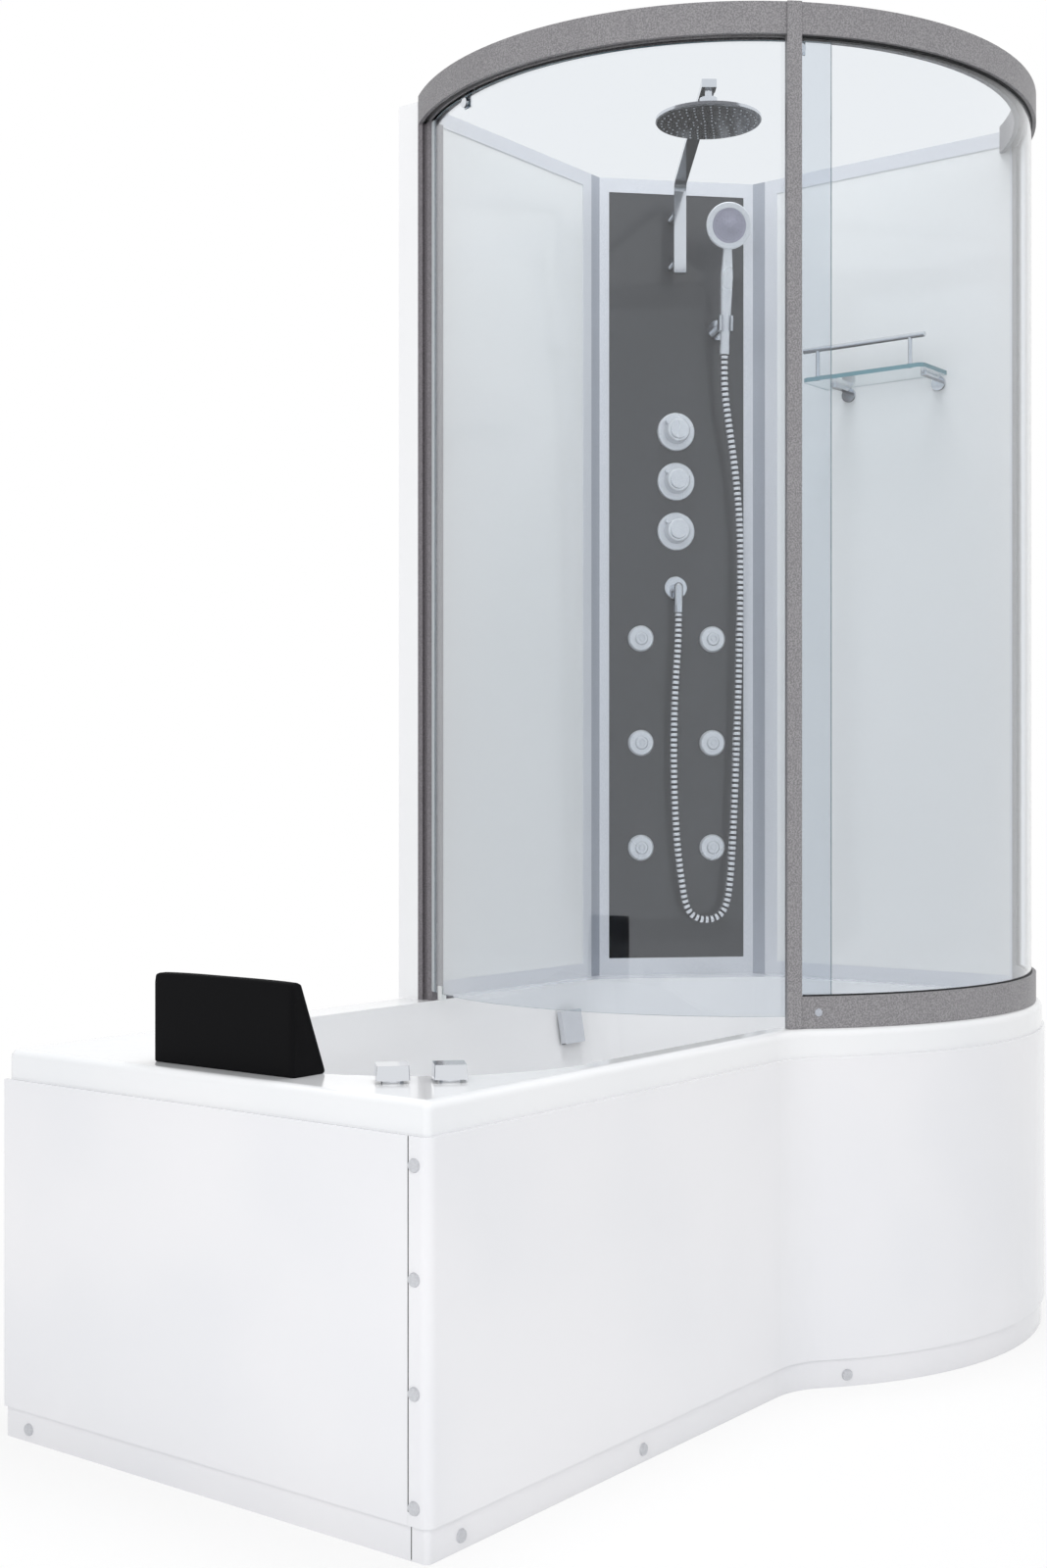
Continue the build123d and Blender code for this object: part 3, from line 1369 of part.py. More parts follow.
# Rails of the curved cabin
rail_bottom = cabin_top - rail_height
lip_width = 6
lip_thickness = 3
roller_channel_top = cabin_top - 10
glass_outer = rail_outer - fixed_glass_setback
glass_inner = glass_outer - glass_thickness
door_outer = glass_inner - door_gap
door_inner = door_outer - glass_thickness
channel_inner = glass_inner - seat_gap
channel_outer = glass_outer + seat_gap
glass_channel_top = rail_bottom + 20
roller_channel_outer = door_outer + 1
roller_channel_inner = rail_inner + rail_wall
slot_inner = roller_channel_inner + lip_width
lip_top = rail_bottom + lip_thickness
bottom_rail_inner = door_outer + 2
bottom_rail_top = rim_height + 50
glass_seat = rim_height + 3
rail_start_angle = 180 - degrees(asin((wall_face_y - cabin_y) / rail_inner)) - 1
rail_end_angle = 360 - degrees(acos((wall_face_x - cabin_x) / rail_inner)) + 1
post_half = degrees(post_width / 2 / rail_outer)
post_start = post_angle - post_half
post_end = post_angle + post_half
back_cut = Plane((0, wall_face_y, 0), x_dir=(1, 0, 0), z_dir=(0, 1, 0))
end_cut = Plane((wall_face_x, 0, 0), x_dir=(0, 1, 0), z_dir=(1, 0, 0))


def rectangle_between(inner, outer, low, high):
    """Rectangle between two radii and two heights, drawn without a builder's help."""
    with BuildSketch(mode=Mode.PRIVATE) as shape:
        with Locations(((inner + outer) / 2, (low + high) / 2)):
            Rectangle(outer - inner, high - low)
    return shape.sketch


with BuildPart() as top_rail:
    with BuildSketch(section_plane(rail_start_angle)):
        add(rectangle_between(rail_inner, rail_outer, rail_bottom, cabin_top))
        add(rectangle_between(roller_channel_inner, roller_channel_outer, lip_top, roller_channel_top),
            mode=Mode.SUBTRACT)
        add(rectangle_between(slot_inner, roller_channel_outer, rail_bottom, lip_top), mode=Mode.SUBTRACT)
        add(rectangle_between(channel_inner, channel_outer, rail_bottom, glass_channel_top),
            mode=Mode.SUBTRACT)
    revolve(axis=cabin_axis, revolution_arc=rail_end_angle - rail_start_angle)
    split(bisect_by=back_cut, keep=Keep.BOTTOM)
    split(bisect_by=end_cut, keep=Keep.BOTTOM)
top_rail.part.label = "top_rail"
export_step(top_rail.part, "parts/top_rail.step")

with BuildPart() as bottom_rail:
    with BuildSketch(section_plane(post_end)):
        add(rectangle_between(bottom_rail_inner, rail_outer, rim_height, bottom_rail_top))
        add(rectangle_between(channel_inner, channel_outer, glass_seat, bottom_rail_top), mode=Mode.SUBTRACT)
    revolve(axis=cabin_axis, revolution_arc=rail_end_angle - post_end)
    split(bisect_by=end_cut, keep=Keep.BOTTOM)
bottom_rail.part.label = "bottom_rail"
export_step(bottom_rail.part, "parts/bottom_rail.step")

# Post between the entrance and the fixed glass
post_inner = door_outer + bolt_cap_height + 0.5
glass_start = post_angle + 0.4
with BuildPart() as door_post:
    extrude(band(rail_outer, rail_outer + post_cover, post_start, post_end, rim_height),
            amount=cabin_top - rim_height)
    extrude(band(post_inner, rail_outer, post_start, post_end, rim_height), amount=rail_bottom - rim_height)
    extrude(band(channel_inner, channel_outer, post_angle + 0.2, post_end + 1, rim_height),
            amount=rail_bottom - rim_height, mode=Mode.SUBTRACT)
door_post.part.label = "door_post"
export_step(door_post.part, "parts/door_post.step")

# Profile on the end wall that takes the other edge of the fixed glass
end_profile_start = jamb_angle - 1.4
glass_end = jamb_angle - 0.5
with BuildPart() as end_profile:
    extrude(band(bottom_rail_inner, rail_outer, end_profile_start, rail_end_angle, bottom_rail_top),
            amount=rail_bottom - bottom_rail_top)
    split(bisect_by=end_cut, keep=Keep.BOTTOM)
    extrude(band(channel_inner, channel_outer, end_profile_start - 1, jamb_angle, bottom_rail_top),
            amount=rail_bottom - bottom_rail_top, mode=Mode.SUBTRACT)
end_profile.part.label = "end_profile"
export_step(end_profile.part, "parts/end_profile.step")

fixed_glass_top = glass_channel_top - 5
fixed_glass_bottom = glass_seat + panel_gap
with BuildPart() as fixed_glass:
    extrude(band(glass_inner, glass_outer, glass_start, glass_end, fixed_glass_bottom),
            amount=fixed_glass_top - fixed_glass_bottom)
fixed_glass.part.label = "fixed_glass"
export_step(fixed_glass.part, "parts/fixed_glass.step")

# Door: a curved pane that hangs on two rollers and slides inside the fixed glass
door_bottom = rim_height + door_lift
door_top = rail_bottom - door_top_gap
door_height = door_top - door_bottom
bolt_height = rail_bottom - hanger_bolt_drop
bolt_hole_radius = hanger_bolt_radius + 0.1
roller_height = lip_top + panel_gap + roller_radius
with BuildPart() as door_glass:
    extrude(band(door_inner, door_outer, door_angle_start, door_angle_end, door_bottom), amount=door_height)
    for angle in roller_angles:
        with BuildSketch(radial_plane(angle, door_inner - 1, bolt_height)):
            Circle(bolt_hole_radius)
        extrude(amount=glass_thickness + 2, mode=Mode.SUBTRACT)
door_glass.part.label = "door_glass"
export_step(door_glass.part, "parts/door_glass.step")

hanger_inner = door_inner - hanger_thickness
hanger_bottom = rail_bottom - hanger_drop
hanger_top = roller_height + 5.5
hanger_half = degrees(hanger_width / 2 / door_inner)
wheel_inner = roller_channel_inner + seat_gap
with BuildPart() as roller_brackets:
    for angle in roller_angles:
        extrude(band(hanger_inner, door_inner, angle - hanger_half, angle + hanger_half, hanger_bottom),
                amount=hanger_top - hanger_bottom)
        with BuildSketch(radial_plane(angle, wheel_inner, roller_height)):
            Circle(axle_radius)
        extrude(amount=hanger_inner - wheel_inner + 1)
        with BuildSketch(radial_plane(angle, door_inner - 1, bolt_height)):
            Circle(hanger_bolt_radius)
        extrude(amount=glass_thickness + 1.5)
        with BuildSketch(radial_plane(angle, door_outer + 0.1, bolt_height)):
            Circle(bolt_cap_radius)
        extrude(amount=bolt_cap_height - 0.1)
roller_brackets.part.label = "roller_brackets"
export_step(roller_brackets.part, "parts/roller_brackets.step")

for name, angle in zip(("upper_roller_left", "upper_roller_right"), roller_angles):
    with BuildPart() as roller:
        with BuildSketch(radial_plane(angle, wheel_inner, roller_height)):
            Circle(roller_radius)
            Circle(axle_radius + running_gap, mode=Mode.SUBTRACT)
        extrude(amount=roller_width)
    roller.part.label = name
    export_step(roller.part, f"parts/{name}.step")

# Guides below the pane, close inside the bottom rail
guide_half = 1
guide_bottom = door_bottom - 11
guide_top = door_bottom + 13
guide_angles = [door_angle_start + 4.4, door_angle_end - 1.5]
guide_reach = 1.4
with BuildPart() as lower_guides:
    for angle in guide_angles:
        extrude(band(door_inner - guide_reach, door_outer + guide_reach, angle - guide_half,
                     angle + guide_half, guide_bottom), amount=guide_top - guide_bottom)
        extrude(band(door_inner, door_outer, angle - 2 * guide_half, angle + 2 * guide_half, door_bottom),
                amount=door_height, mode=Mode.SUBTRACT)
lower_guides.part.label = "lower_guides"
export_step(lower_guides.part, "parts/lower_guides.step")

# Closing seal on the free edge of the door
seal_angle = degrees(seal_width / door_outer)
seal_lip = 1.2
seal_grip = 0.8
with BuildPart() as door_seal:
    extrude(band(door_inner - seal_lip, door_outer + seal_lip, door_angle_start - seal_angle,
                 door_angle_start + seal_grip, door_bottom), amount=door_height)
    extrude(band(door_inner, door_outer, door_angle_start, door_angle_start + 2 * seal_grip, door_bottom),
            amount=door_height, mode=Mode.SUBTRACT)
door_seal.part.label = "door_seal"
export_step(door_seal.part, "parts/door_seal.step")

# Profile on the back wall that the door closes against, and its foot
profile_right = profile_left + profile_width
profile_front = wall_face_y - profile_depth
profile_groove = 12
foot_thickness = 4
foot_length = 35
with BuildPart() as wall_profile:
    with BuildSketch(Plane.XY.offset(rim_height)):
        with Locations(((profile_left + profile_right) / 2, (profile_front + wall_face_y) / 2)):
            Rectangle(profile_width, profile_depth)
        with Locations((profile_left, (profile_front + wall_face_y) / 2)):
            Rectangle(profile_groove, profile_groove, mode=Mode.SUBTRACT)
        with Locations((profile_right, profile_front)):
            Rectangle(8, 8, mode=Mode.SUBTRACT)
    extrude(amount=rail_bottom - rim_height)
wall_profile.part.label = "wall_profile"
export_step(wall_profile.part, "parts/wall_profile.step")

with BuildPart() as profile_foot:
    with BuildSketch(Plane.XY.offset(rim_height)):
        with BuildLine():
            Polyline((profile_right, profile_front + 4), (profile_right + foot_length - 12, profile_front),
                     (profile_right + foot_length, wall_face_y), (profile_right, wall_face_y), close=True)
        make_face()
    extrude(amount=foot_thickness)
profile_foot.part.label = "profile_foot"
export_step(profile_foot.part, "parts/profile_foot.step")

# Glass shelf on the end wall with its brackets and gallery rail
shelf_top = 1725
shelf_thickness = 8
shelf_depth = 102
shelf_start = -200
shelf_end = 55
shelf_corner = 12
gallery_height = 53
gallery_radius = 5
gallery_setback = 8
gallery_post_radius = 4
gallery_post_inset = 30
bracket_inset = 16
bracket_width = 12
bracket_height = 9
bracket_plate_radius = 14
bracket_plate_thickness = 5
shelf_wall_x = wall_face_x + panel_recess
shelf_front_x = shelf_wall_x - shelf_depth
shelf_bottom = shelf_top - shelf_thickness
gallery_x = shelf_front_x + gallery_setback
gallery_z = shelf_top + gallery_height
bracket_ys = [shelf_start + bracket_inset, shelf_end - 3 * bracket_inset]
with BuildPart() as shelf_glass:
    with BuildSketch(Plane.XY.offset(shelf_bottom)):
        with Locations(((shelf_front_x + shelf_wall_x) / 2, (shelf_start + shelf_end) / 2)):
            Rectangle(shelf_depth, shelf_end - shelf_start)
    extrude(amount=shelf_thickness)
    fillet(shelf_glass.edges().filter_by(Axis.Z).group_by(Axis.X)[0], shelf_corner)
shelf_glass.part.label = "shelf_glass"
export_step(shelf_glass.part, "parts/shelf_glass.step")

with BuildPart() as shelf_rail:
    with BuildSketch(Plane((gallery_x, shelf_start, gallery_z), x_dir=(1, 0, 0), z_dir=(0, 1, 0))):
        Circle(gallery_radius)
    extrude(amount=shelf_end - shelf_start)
    with BuildSketch(Plane.XY.offset(shelf_top)):
        with Locations((gallery_x, shelf_start + gallery_post_inset), (gallery_x, shelf_end - gallery_post_inset)):
            Circle(gallery_post_radius)
    extrude(amount=gallery_height)
    with BuildSketch(Plane.XY.offset(shelf_bottom)):
        with Locations(*[(shelf_wall_x - shelf_depth / 3, y) for y in bracket_ys]):
            RectangleRounded(2 * shelf_depth / 3, bracket_width, 3)
    extrude(amount=-bracket_height)
    with BuildSketch(Plane((shelf_wall_x, 0, 0), x_dir=(0, 1, 0), z_dir=(1, 0, 0))):
        with Locations(*[(y, shelf_bottom - bracket_plate_radius) for y in bracket_ys]):
            Circle(bracket_plate_radius)
    extrude(amount=-bracket_plate_thickness)
shelf_rail.part.label = "shelf_rail"
export_step(shelf_rail.part, "parts/shelf_rail.step")
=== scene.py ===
import bpy
import bmesh
import math
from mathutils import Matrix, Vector


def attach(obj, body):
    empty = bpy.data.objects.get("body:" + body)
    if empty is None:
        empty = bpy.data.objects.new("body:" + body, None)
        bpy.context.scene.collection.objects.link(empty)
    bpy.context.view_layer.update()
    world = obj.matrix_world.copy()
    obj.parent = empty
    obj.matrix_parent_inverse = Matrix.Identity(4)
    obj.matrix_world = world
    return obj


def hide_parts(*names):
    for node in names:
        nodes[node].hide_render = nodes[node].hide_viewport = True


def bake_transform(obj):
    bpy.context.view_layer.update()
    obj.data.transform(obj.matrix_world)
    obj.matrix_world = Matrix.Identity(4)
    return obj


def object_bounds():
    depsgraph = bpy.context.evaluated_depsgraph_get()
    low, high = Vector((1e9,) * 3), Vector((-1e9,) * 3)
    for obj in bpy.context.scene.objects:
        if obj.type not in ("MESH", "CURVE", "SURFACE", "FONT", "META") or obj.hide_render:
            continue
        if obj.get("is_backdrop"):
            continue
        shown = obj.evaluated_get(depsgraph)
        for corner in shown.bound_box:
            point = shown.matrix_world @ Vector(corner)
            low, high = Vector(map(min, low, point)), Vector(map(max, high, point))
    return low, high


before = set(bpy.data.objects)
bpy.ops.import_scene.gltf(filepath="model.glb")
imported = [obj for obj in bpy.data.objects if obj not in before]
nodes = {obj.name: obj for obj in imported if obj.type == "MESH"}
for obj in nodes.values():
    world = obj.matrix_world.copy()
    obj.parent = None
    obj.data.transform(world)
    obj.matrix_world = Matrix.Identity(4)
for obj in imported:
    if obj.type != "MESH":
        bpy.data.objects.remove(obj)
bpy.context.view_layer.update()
print("frame loaded:", len(nodes), "nodes")

# Places shared with the solids, in metres
cabinAxis = Vector((0.46, 0.09, 0.0))
columnLeft = Vector((0.578, 0.445, 0.0))
columnAlong = Vector((0.227, -0.220, 0.0)).normalized()
columnOut = Vector((columnAlong.y, -columnAlong.x, 0.0))


def columnPoint(along, off, height):
    place = columnLeft + columnAlong * along + columnOut * off
    return Vector((place.x, place.y, height))


def cabinPoint(radius, degrees, height):
    angle = math.radians(degrees)
    return Vector((cabinAxis.x + radius * math.cos(angle), cabinAxis.y + radius * math.sin(angle), height))


# Materials

def toLinear(hexColour):
    values = []
    for start in (0, 2, 4):
        value = int(hexColour[start:start + 2], 16) / 255
        values.append(value / 12.92 if value <= 0.04045 else ((value + 0.055) / 1.055) ** 2.4)
    return (*values, 1.0)


def addNode(tree, kind, inputs=None, **settings):
    node = tree.nodes.new(kind)
    for name, value in settings.items():
        setattr(node, name, value)
    for socket, value in (inputs or {}).items():
        if isinstance(value, bpy.types.NodeSocket):
            tree.links.new(value, node.inputs[socket])
        else:
            node.inputs[socket].default_value = value
    return node


def startMaterial(name):
    material = bpy.data.materials.new(name)
    material.use_nodes = True
    tree = material.node_tree
    return material, tree, tree.nodes["Principled BSDF"]


def setShader(shader, **values):
    for name, value in values.items():
        shader.inputs[name.replace("_", " ")].default_value = value


def mixColours(tree, factor, first, second):
    mix = addNode(tree, "ShaderNodeMix", data_type="RGBA")
    for socket, value in (("Factor_Float", factor), ("A_Color", first), ("B_Color", second)):
        target = next(item for item in mix.inputs if item.identifier == socket)
        if isinstance(value, bpy.types.NodeSocket):
            tree.links.new(value, target)
        else:
            target.default_value = value
    return next(item for item in mix.outputs if item.identifier == "Result_Color")


def smooth(tree, value, low, high, outLow=0.0, outHigh=1.0):
    return addNode(tree, "ShaderNodeMapRange",
                   {"Value": value, "From Min": low, "From Max": high, "To Min": outLow, "To Max": outHigh},
                   interpolation_type="SMOOTHSTEP").outputs["Result"]


def sanitaryAcrylic(name, colour, shade):
    # Vacuum-formed acrylic: a wet-looking gloss over a faint ripple left by the mould
    material, tree, shader = startMaterial(name)
    setShader(shader, Roughness=0.16, IOR=1.49, Coat_Weight=0.35, Coat_Roughness=0.06)
    place = addNode(tree, "ShaderNodeTexCoord").outputs["Object"]
    wide = addNode(tree, "ShaderNodeTexNoise", {"Vector": place, "Scale": 2.2, "Detail": 2.0})
    base = mixColours(tree, smooth(tree, wide.outputs["Fac"], 0.35, 0.7), toLinear(colour), toLinear(shade))
    tree.links.new(base, shader.inputs["Base Color"])
    ripple = addNode(tree, "ShaderNodeTexNoise", {"Vector": place, "Scale": 38.0, "Detail": 1.0})
    bump = addNode(tree, "ShaderNodeBump", {"Height": ripple.outputs["Fac"], "Strength": 0.05,
                                            "Distance": 0.002})
    tree.links.new(bump.outputs["Normal"], shader.inputs["Normal"])
    return material


def anodisedAluminium(name, light, dark, roughness=0.42, metallic=0.55, grain=420.0, whiteEnd=None):
    # Extruded aluminium, satin anodised: a soft metallic grey with a fine sandy speckle.
    # whiteEnd is the place along X where a white end cover closes the profile
    material, tree, shader = startMaterial(name)
    setShader(shader, Metallic=metallic, Roughness=roughness)
    place = addNode(tree, "ShaderNodeTexCoord").outputs["Object"]
    speckle = addNode(tree, "ShaderNodeTexNoise", {"Vector": place, "Scale": grain, "Detail": 3.0})
    cloud = addNode(tree, "ShaderNodeTexNoise", {"Vector": place, "Scale": 9.0, "Detail": 2.0})
    grainShare = smooth(tree, speckle.outputs["Fac"], 0.38, 0.62)
    base = mixColours(tree, grainShare, toLinear(dark), toLinear(light))
    if whiteEnd is not None:
        along = addNode(tree, "ShaderNodeSeparateXYZ", {0: place}).outputs["X"]
        isEnd = addNode(tree, "ShaderNodeMath", {0: along, 1: whiteEnd}, operation="LESS_THAN")
        base = mixColours(tree, isEnd.outputs["Value"], base, toLinear("fbfbfc"))
    tree.links.new(base, shader.inputs["Base Color"])
    rough = smooth(tree, cloud.outputs["Fac"], 0.3, 0.7, roughness - 0.05, roughness + 0.06)
    tree.links.new(rough, shader.inputs["Roughness"])
    bump = addNode(tree, "ShaderNodeBump", {"Height": speckle.outputs["Fac"], "Strength": 0.08,
                                            "Distance": 0.0004})
    tree.links.new(bump.outputs["Normal"], shader.inputs["Normal"])
    return material


def chromePlate(name, colour, roughness):
    # Electroplated chrome: mirror bright, with painted shade on faces that look down into the tray, standing
    # in for the dark tray they reflect, and faint wiping marks
    material, tree, shader = startMaterial(name)
    setShader(shader, Metallic=1.0)
    facing = addNode(tree, "ShaderNodeNewGeometry").outputs["Normal"]
    upward = addNode(tree, "ShaderNodeSeparateXYZ", {0: facing}).outputs["Z"]
    # Painted shade: faces turned downward get a darkened copy of the chrome colour
    paintedDownwardShade = tuple(value * 0.22 for value in toLinear(colour)[:3]) + (1.0,)
    base = mixColours(tree, smooth(tree, upward, -0.75, 0.05), paintedDownwardShade, toLinear(colour))
    tree.links.new(base, shader.inputs["Base Color"])
    place = addNode(tree, "ShaderNodeTexCoord").outputs["Object"]
    wipe = addNode(tree, "ShaderNodeTexNoise", {"Vector": place, "Scale": 24.0, "Detail": 3.0})
    rough = smooth(tree, wipe.outputs["Fac"], 0.35, 0.75, roughness, roughness * 1.8)
    tree.links.new(rough, shader.inputs["Roughness"])
    return material


# A face that looks further than 60 degrees from its pane's own direction is an edge
edgeCosine = 0.5


def temperedGlass(name, body, edge, level=False):
    # Float glass, tempered and ground at the edges: nearly clear faces, teal where one looks into an edge
    material, tree, shader = startMaterial(name)
    setShader(shader, Base_Color=toLinear(body), Roughness=0.0, IOR=1.5, Transmission_Weight=1.0)
    output = tree.nodes["Material Output"]
    lit = addNode(tree, "ShaderNodeBsdfTransparent", {"Color": toLinear("fbfcfd")})
    rays = addNode(tree, "ShaderNodeLightPath")
    place = addNode(tree, "ShaderNodeNewGeometry")
    radial = addNode(tree, "ShaderNodeVectorMath", {0: place.outputs["Position"], 1: tuple(cabinAxis)},
                     operation="SUBTRACT")
    flat = addNode(tree, "ShaderNodeVectorMath", {0: radial.outputs["Vector"], 1: (1.0, 1.0, 0.0)},
                   operation="MULTIPLY")
    unit = addNode(tree, "ShaderNodeVectorMath", {0: flat.outputs["Vector"]}, operation="NORMALIZE")
    straight = (0.0, 0.0, 1.0) if level else unit.outputs["Vector"]
    facing = addNode(tree, "ShaderNodeVectorMath",
                     {0: straight, 1: place.outputs["True Normal"]}, operation="DOT_PRODUCT")
    across = addNode(tree, "ShaderNodeMath", {0: facing.outputs["Value"]}, operation="ABSOLUTE")
    isEdge = addNode(tree, "ShaderNodeMath", {0: across.outputs["Value"], 1: edgeCosine},
                     operation="LESS_THAN")
    edgeShader = addNode(tree, "ShaderNodeBsdfPrincipled", {"Base Color": toLinear(edge), "Roughness": 0.25})
    dressed = addNode(tree, "ShaderNodeMixShader", {0: isEdge.outputs["Value"], 1: shader.outputs["BSDF"],
                                                    2: edgeShader.outputs["BSDF"]})
    final = addNode(tree, "ShaderNodeMixShader",
                    {0: rays.outputs["Is Shadow Ray"], 1: dressed.outputs["Shader"], 2: lit.outputs["BSDF"]})
    tree.links.new(final.outputs["Shader"], output.inputs["Surface"])
    return material


def backPaintedGlass(name, colour, tint, roughness=0.1):
    # Safety glass painted on its back: an even colour deep under a hard gloss
    material, tree, shader = startMaterial(name)
    setShader(shader, Roughness=roughness, IOR=1.5, Coat_Weight=0.5, Coat_Roughness=0.03)
    place = addNode(tree, "ShaderNodeTexCoord").outputs["Object"]
    cloud = addNode(tree, "ShaderNodeTexNoise", {"Vector": place, "Scale": 1.6, "Detail": 1.0})
    base = mixColours(tree, smooth(tree, cloud.outputs["Fac"], 0.3, 0.7), toLinear(colour), toLinear(tint))
    tree.links.new(base, shader.inputs["Base Color"])
    return material


def mouldedPlastic(name, colour, roughness=0.4, grain=300.0, bumpStrength=0.05, ior=1.46):
    # Injection-moulded plastic: even colour with a light texture from the tool
    material, tree, shader = startMaterial(name)
    setShader(shader, Roughness=roughness, IOR=ior)
    place = addNode(tree, "ShaderNodeTexCoord").outputs["Object"]
    texture = addNode(tree, "ShaderNodeTexNoise", {"Vector": place, "Scale": grain, "Detail": 2.0})
    dark = tuple(value * 0.9 for value in toLinear(colour)[:3]) + (1.0,)
    base = mixColours(tree, smooth(tree, texture.outputs["Fac"], 0.3, 0.7), toLinear(colour), dark)
    tree.links.new(base, shader.inputs["Base Color"])
    bump = addNode(tree, "ShaderNodeBump", {"Height": texture.outputs["Fac"], "Strength": bumpStrength,
                                            "Distance": 0.0006})
    tree.links.new(bump.outputs["Normal"], shader.inputs["Normal"])
    return material


materials = {
    "acrylic": sanitaryAcrylic("sanitaryAcrylic", "f4f4f5", "eff0f2"),
    "panelAcrylic": sanitaryAcrylic("apronAcrylic", "f1f0f2", "ebebee"),
    "rail": anodisedAluminium("railAluminium", "9c9a9c", "7f7d80", roughness=0.5, metallic=0.3),
    "frameProfile": anodisedAluminium("frameAluminium", "e9eaee", "e0e2e7", roughness=0.45, metallic=0.1,
                                      whiteEnd=0.0206),
    "cornerProfile": anodisedAluminium("cornerAluminium", "bcc0c9", "aeb2bb", roughness=0.45, metallic=0.3),
    "wallProfile": anodisedAluminium("wallProfileAluminium", "827e82", "6e6a6e", roughness=0.5, metallic=0.3),
    "chrome": chromePlate("polishedChrome", "d9dce1", 0.07),
    "satinChrome": anodisedAluminium("satinChrome", "eceef1", "e0e3e8", roughness=0.3, metallic=0.5),
    "capPlastic": mouldedPlastic("greyCapPlastic", "cdced2", 0.4),
    "clearGlass": temperedGlass("temperedGlass", "eaeef2", "5b8b96"),
    "shelfGlass": temperedGlass("shelfGlass", "f3f8f9", "6f9aa3", level=True),
    "darkChrome": chromePlate("darkChrome", "6c6e74", 0.12),
    "whiteGlass": backPaintedGlass("whiteBackPaintedGlass", "f8f8f7", "f4f5f4"),
    "greyGlass": backPaintedGlass("greyBackPaintedGlass", "38393d", "323337", 0.35),
    "blackGloss": mouldedPlastic("blackGlossPlastic", "16171a", 0.08, 200.0, 0.01),
    "foam": mouldedPlastic("integralSkinFoam", "0b0b0d", 0.8, 520.0, 0.2, 1.22),
    "whitePlastic": mouldedPlastic("whiteAbs", "eceeee", 0.35),
    "pvc": mouldedPlastic("whitePvcPipe", "e4e5e2", 0.4),
    "blackPlastic": mouldedPlastic("blackPolypropylene", "24262a", 0.5),
    "seal": mouldedPlastic("translucentVinyl", "d4dade", 0.3),
    "gasket": mouldedPlastic("blackEpdm", "1c1d1f", 0.6),
    "steel": anodisedAluminium("powderCoatedSteel", "9a9da1", "8d9094", roughness=0.6, metallic=0.1),
    "zinc": anodisedAluminium("zincPlatedSteel", "b4b6b8", "9c9ea0", roughness=0.4, metallic=0.8),
    "brass": anodisedAluminium("castBrass", "c8a660", "b08f4c", roughness=0.4, metallic=0.9),
    "lilac": mouldedPlastic("lilacGreySilicone", "a9a8b8", 0.45),
    "silicone": mouldedPlastic("paleSilicone", "d9dde3", 0.45),
}
print("materials made:", len(materials))

# Which finish each solid carries
finishes = {
    "acrylic": ["tub_shell"],
    "panelAcrylic": ["front_apron", "end_apron", "plinth_strips"],
    "capPlastic": ["screw_caps"],
    "whitePlastic": ["lower_guides", "upper_roller_left", "upper_roller_right"],
    "rail": ["top_rail", "bottom_rail", "door_post", "end_profile"],
    "frameProfile": ["wall_frames", "column_frame"],
    "cornerProfile": ["corner_profiles"],
    "wallProfile": ["wall_profile", "profile_foot"],
    "whiteGlass": ["back_wall_panel", "end_wall_panel"],
    "greyGlass": ["column_panel"],
    "blackGloss": ["column_inlay"],
    "clearGlass": ["door_glass", "fixed_glass"],
    "shelfGlass": ["shelf_glass"],
    "chrome": ["shower_arm", "arm_mounts", "rain_head", "hose_outlet", "handset_holder", "drain_flange",
               "drain_plug", "overflow_plate", "bath_jets", "suction_fitting", "shelf_rail",
               "roller_brackets", "deck_knob_bases", "jets_knob", "air_knob"],
    "satinChrome": ["column_rosettes", "upper_knob", "middle_knob", "lower_knob", "handset"]
                   + [f"jet_nozzle_{number}" for number in range(1, 7)],
    "seal": ["door_seal"],
    "steel": ["support_frame"],
    "zinc": ["levelling_feet"],
    "pvc": ["bath_pipework", "waste_and_overflow"],
    "blackPlastic": ["circulation_pump"],
    "brass": ["mixer_manifold"],
    "foam": ["headrest"],
}
for finish, names in finishes.items():
    for name in names:
        nodes[name].data.materials.clear()
        nodes[name].data.materials.append(materials[finish])
print("solids dressed")


# Building helpers

def addMesh(name, mesh, finish, body):
    piece = bpy.data.objects.new(name, mesh)
    bpy.context.scene.collection.objects.link(piece)
    if finish:
        piece.data.materials.append(materials[finish])
    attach(piece, body)
    return piece


def formMesh(name, form):
    bmesh.ops.recalc_face_normals(form, faces=form.faces)
    mesh = bpy.data.meshes.new(name)
    form.to_mesh(mesh)
    form.free()
    return mesh


def tubeMesh(name, form, rings):
    # Four-sided faces from each ring of points to the next, and one face over either end
    for first, second in zip(rings, rings[1:]):
        for index in range(len(first)):
            after = (index + 1) % len(first)
            form.faces.new((first[index], first[after], second[after], second[index]))
    form.faces.new(rings[0])
    form.faces.new(rings[-1][::-1])
    return formMesh(name, form)


# Hose: a ribbed metal tube that hangs from the outlet and rises to the handset
hose = {
    "radius": 0.0075, "groove": 0.0056, "ribs": 172, "length": 1.80,
    "route": [
        (155, 1285, 30), (155, 1230, 30), (147, 1130, 32), (144, 990, 32), (149, 850, 32), (160, 751, 32),
        (171, 691, 32), (195.7, 672, 32), (226.9, 672, 32), (251.3, 691.6, 32), (261, 752, 32),
        (267, 860, 32), (272.5, 1000, 32), (277.5, 1160, 32.5), (281, 1320, 34), (280, 1450, 36),
        (270, 1560, 39.5), (254, 1660, 45.5),
    ],
    "bendFrom": (0.281, 0.034, 1.32), "bendTo": (0.250, 0.048, 1.73),
    "lean": 7.0, "lastRun": 0.059, "end": (0.242, 0.058, 1.797),
}
lean = math.radians(hose["lean"])
handsetAxis = Vector((0, 0, 1)) * math.cos(lean) + columnOut * math.sin(lean)
handsetNormal = columnOut * math.cos(lean) - Vector((0, 0, 1)) * math.sin(lean)
handsetFoot = columnPoint(*hose["end"])
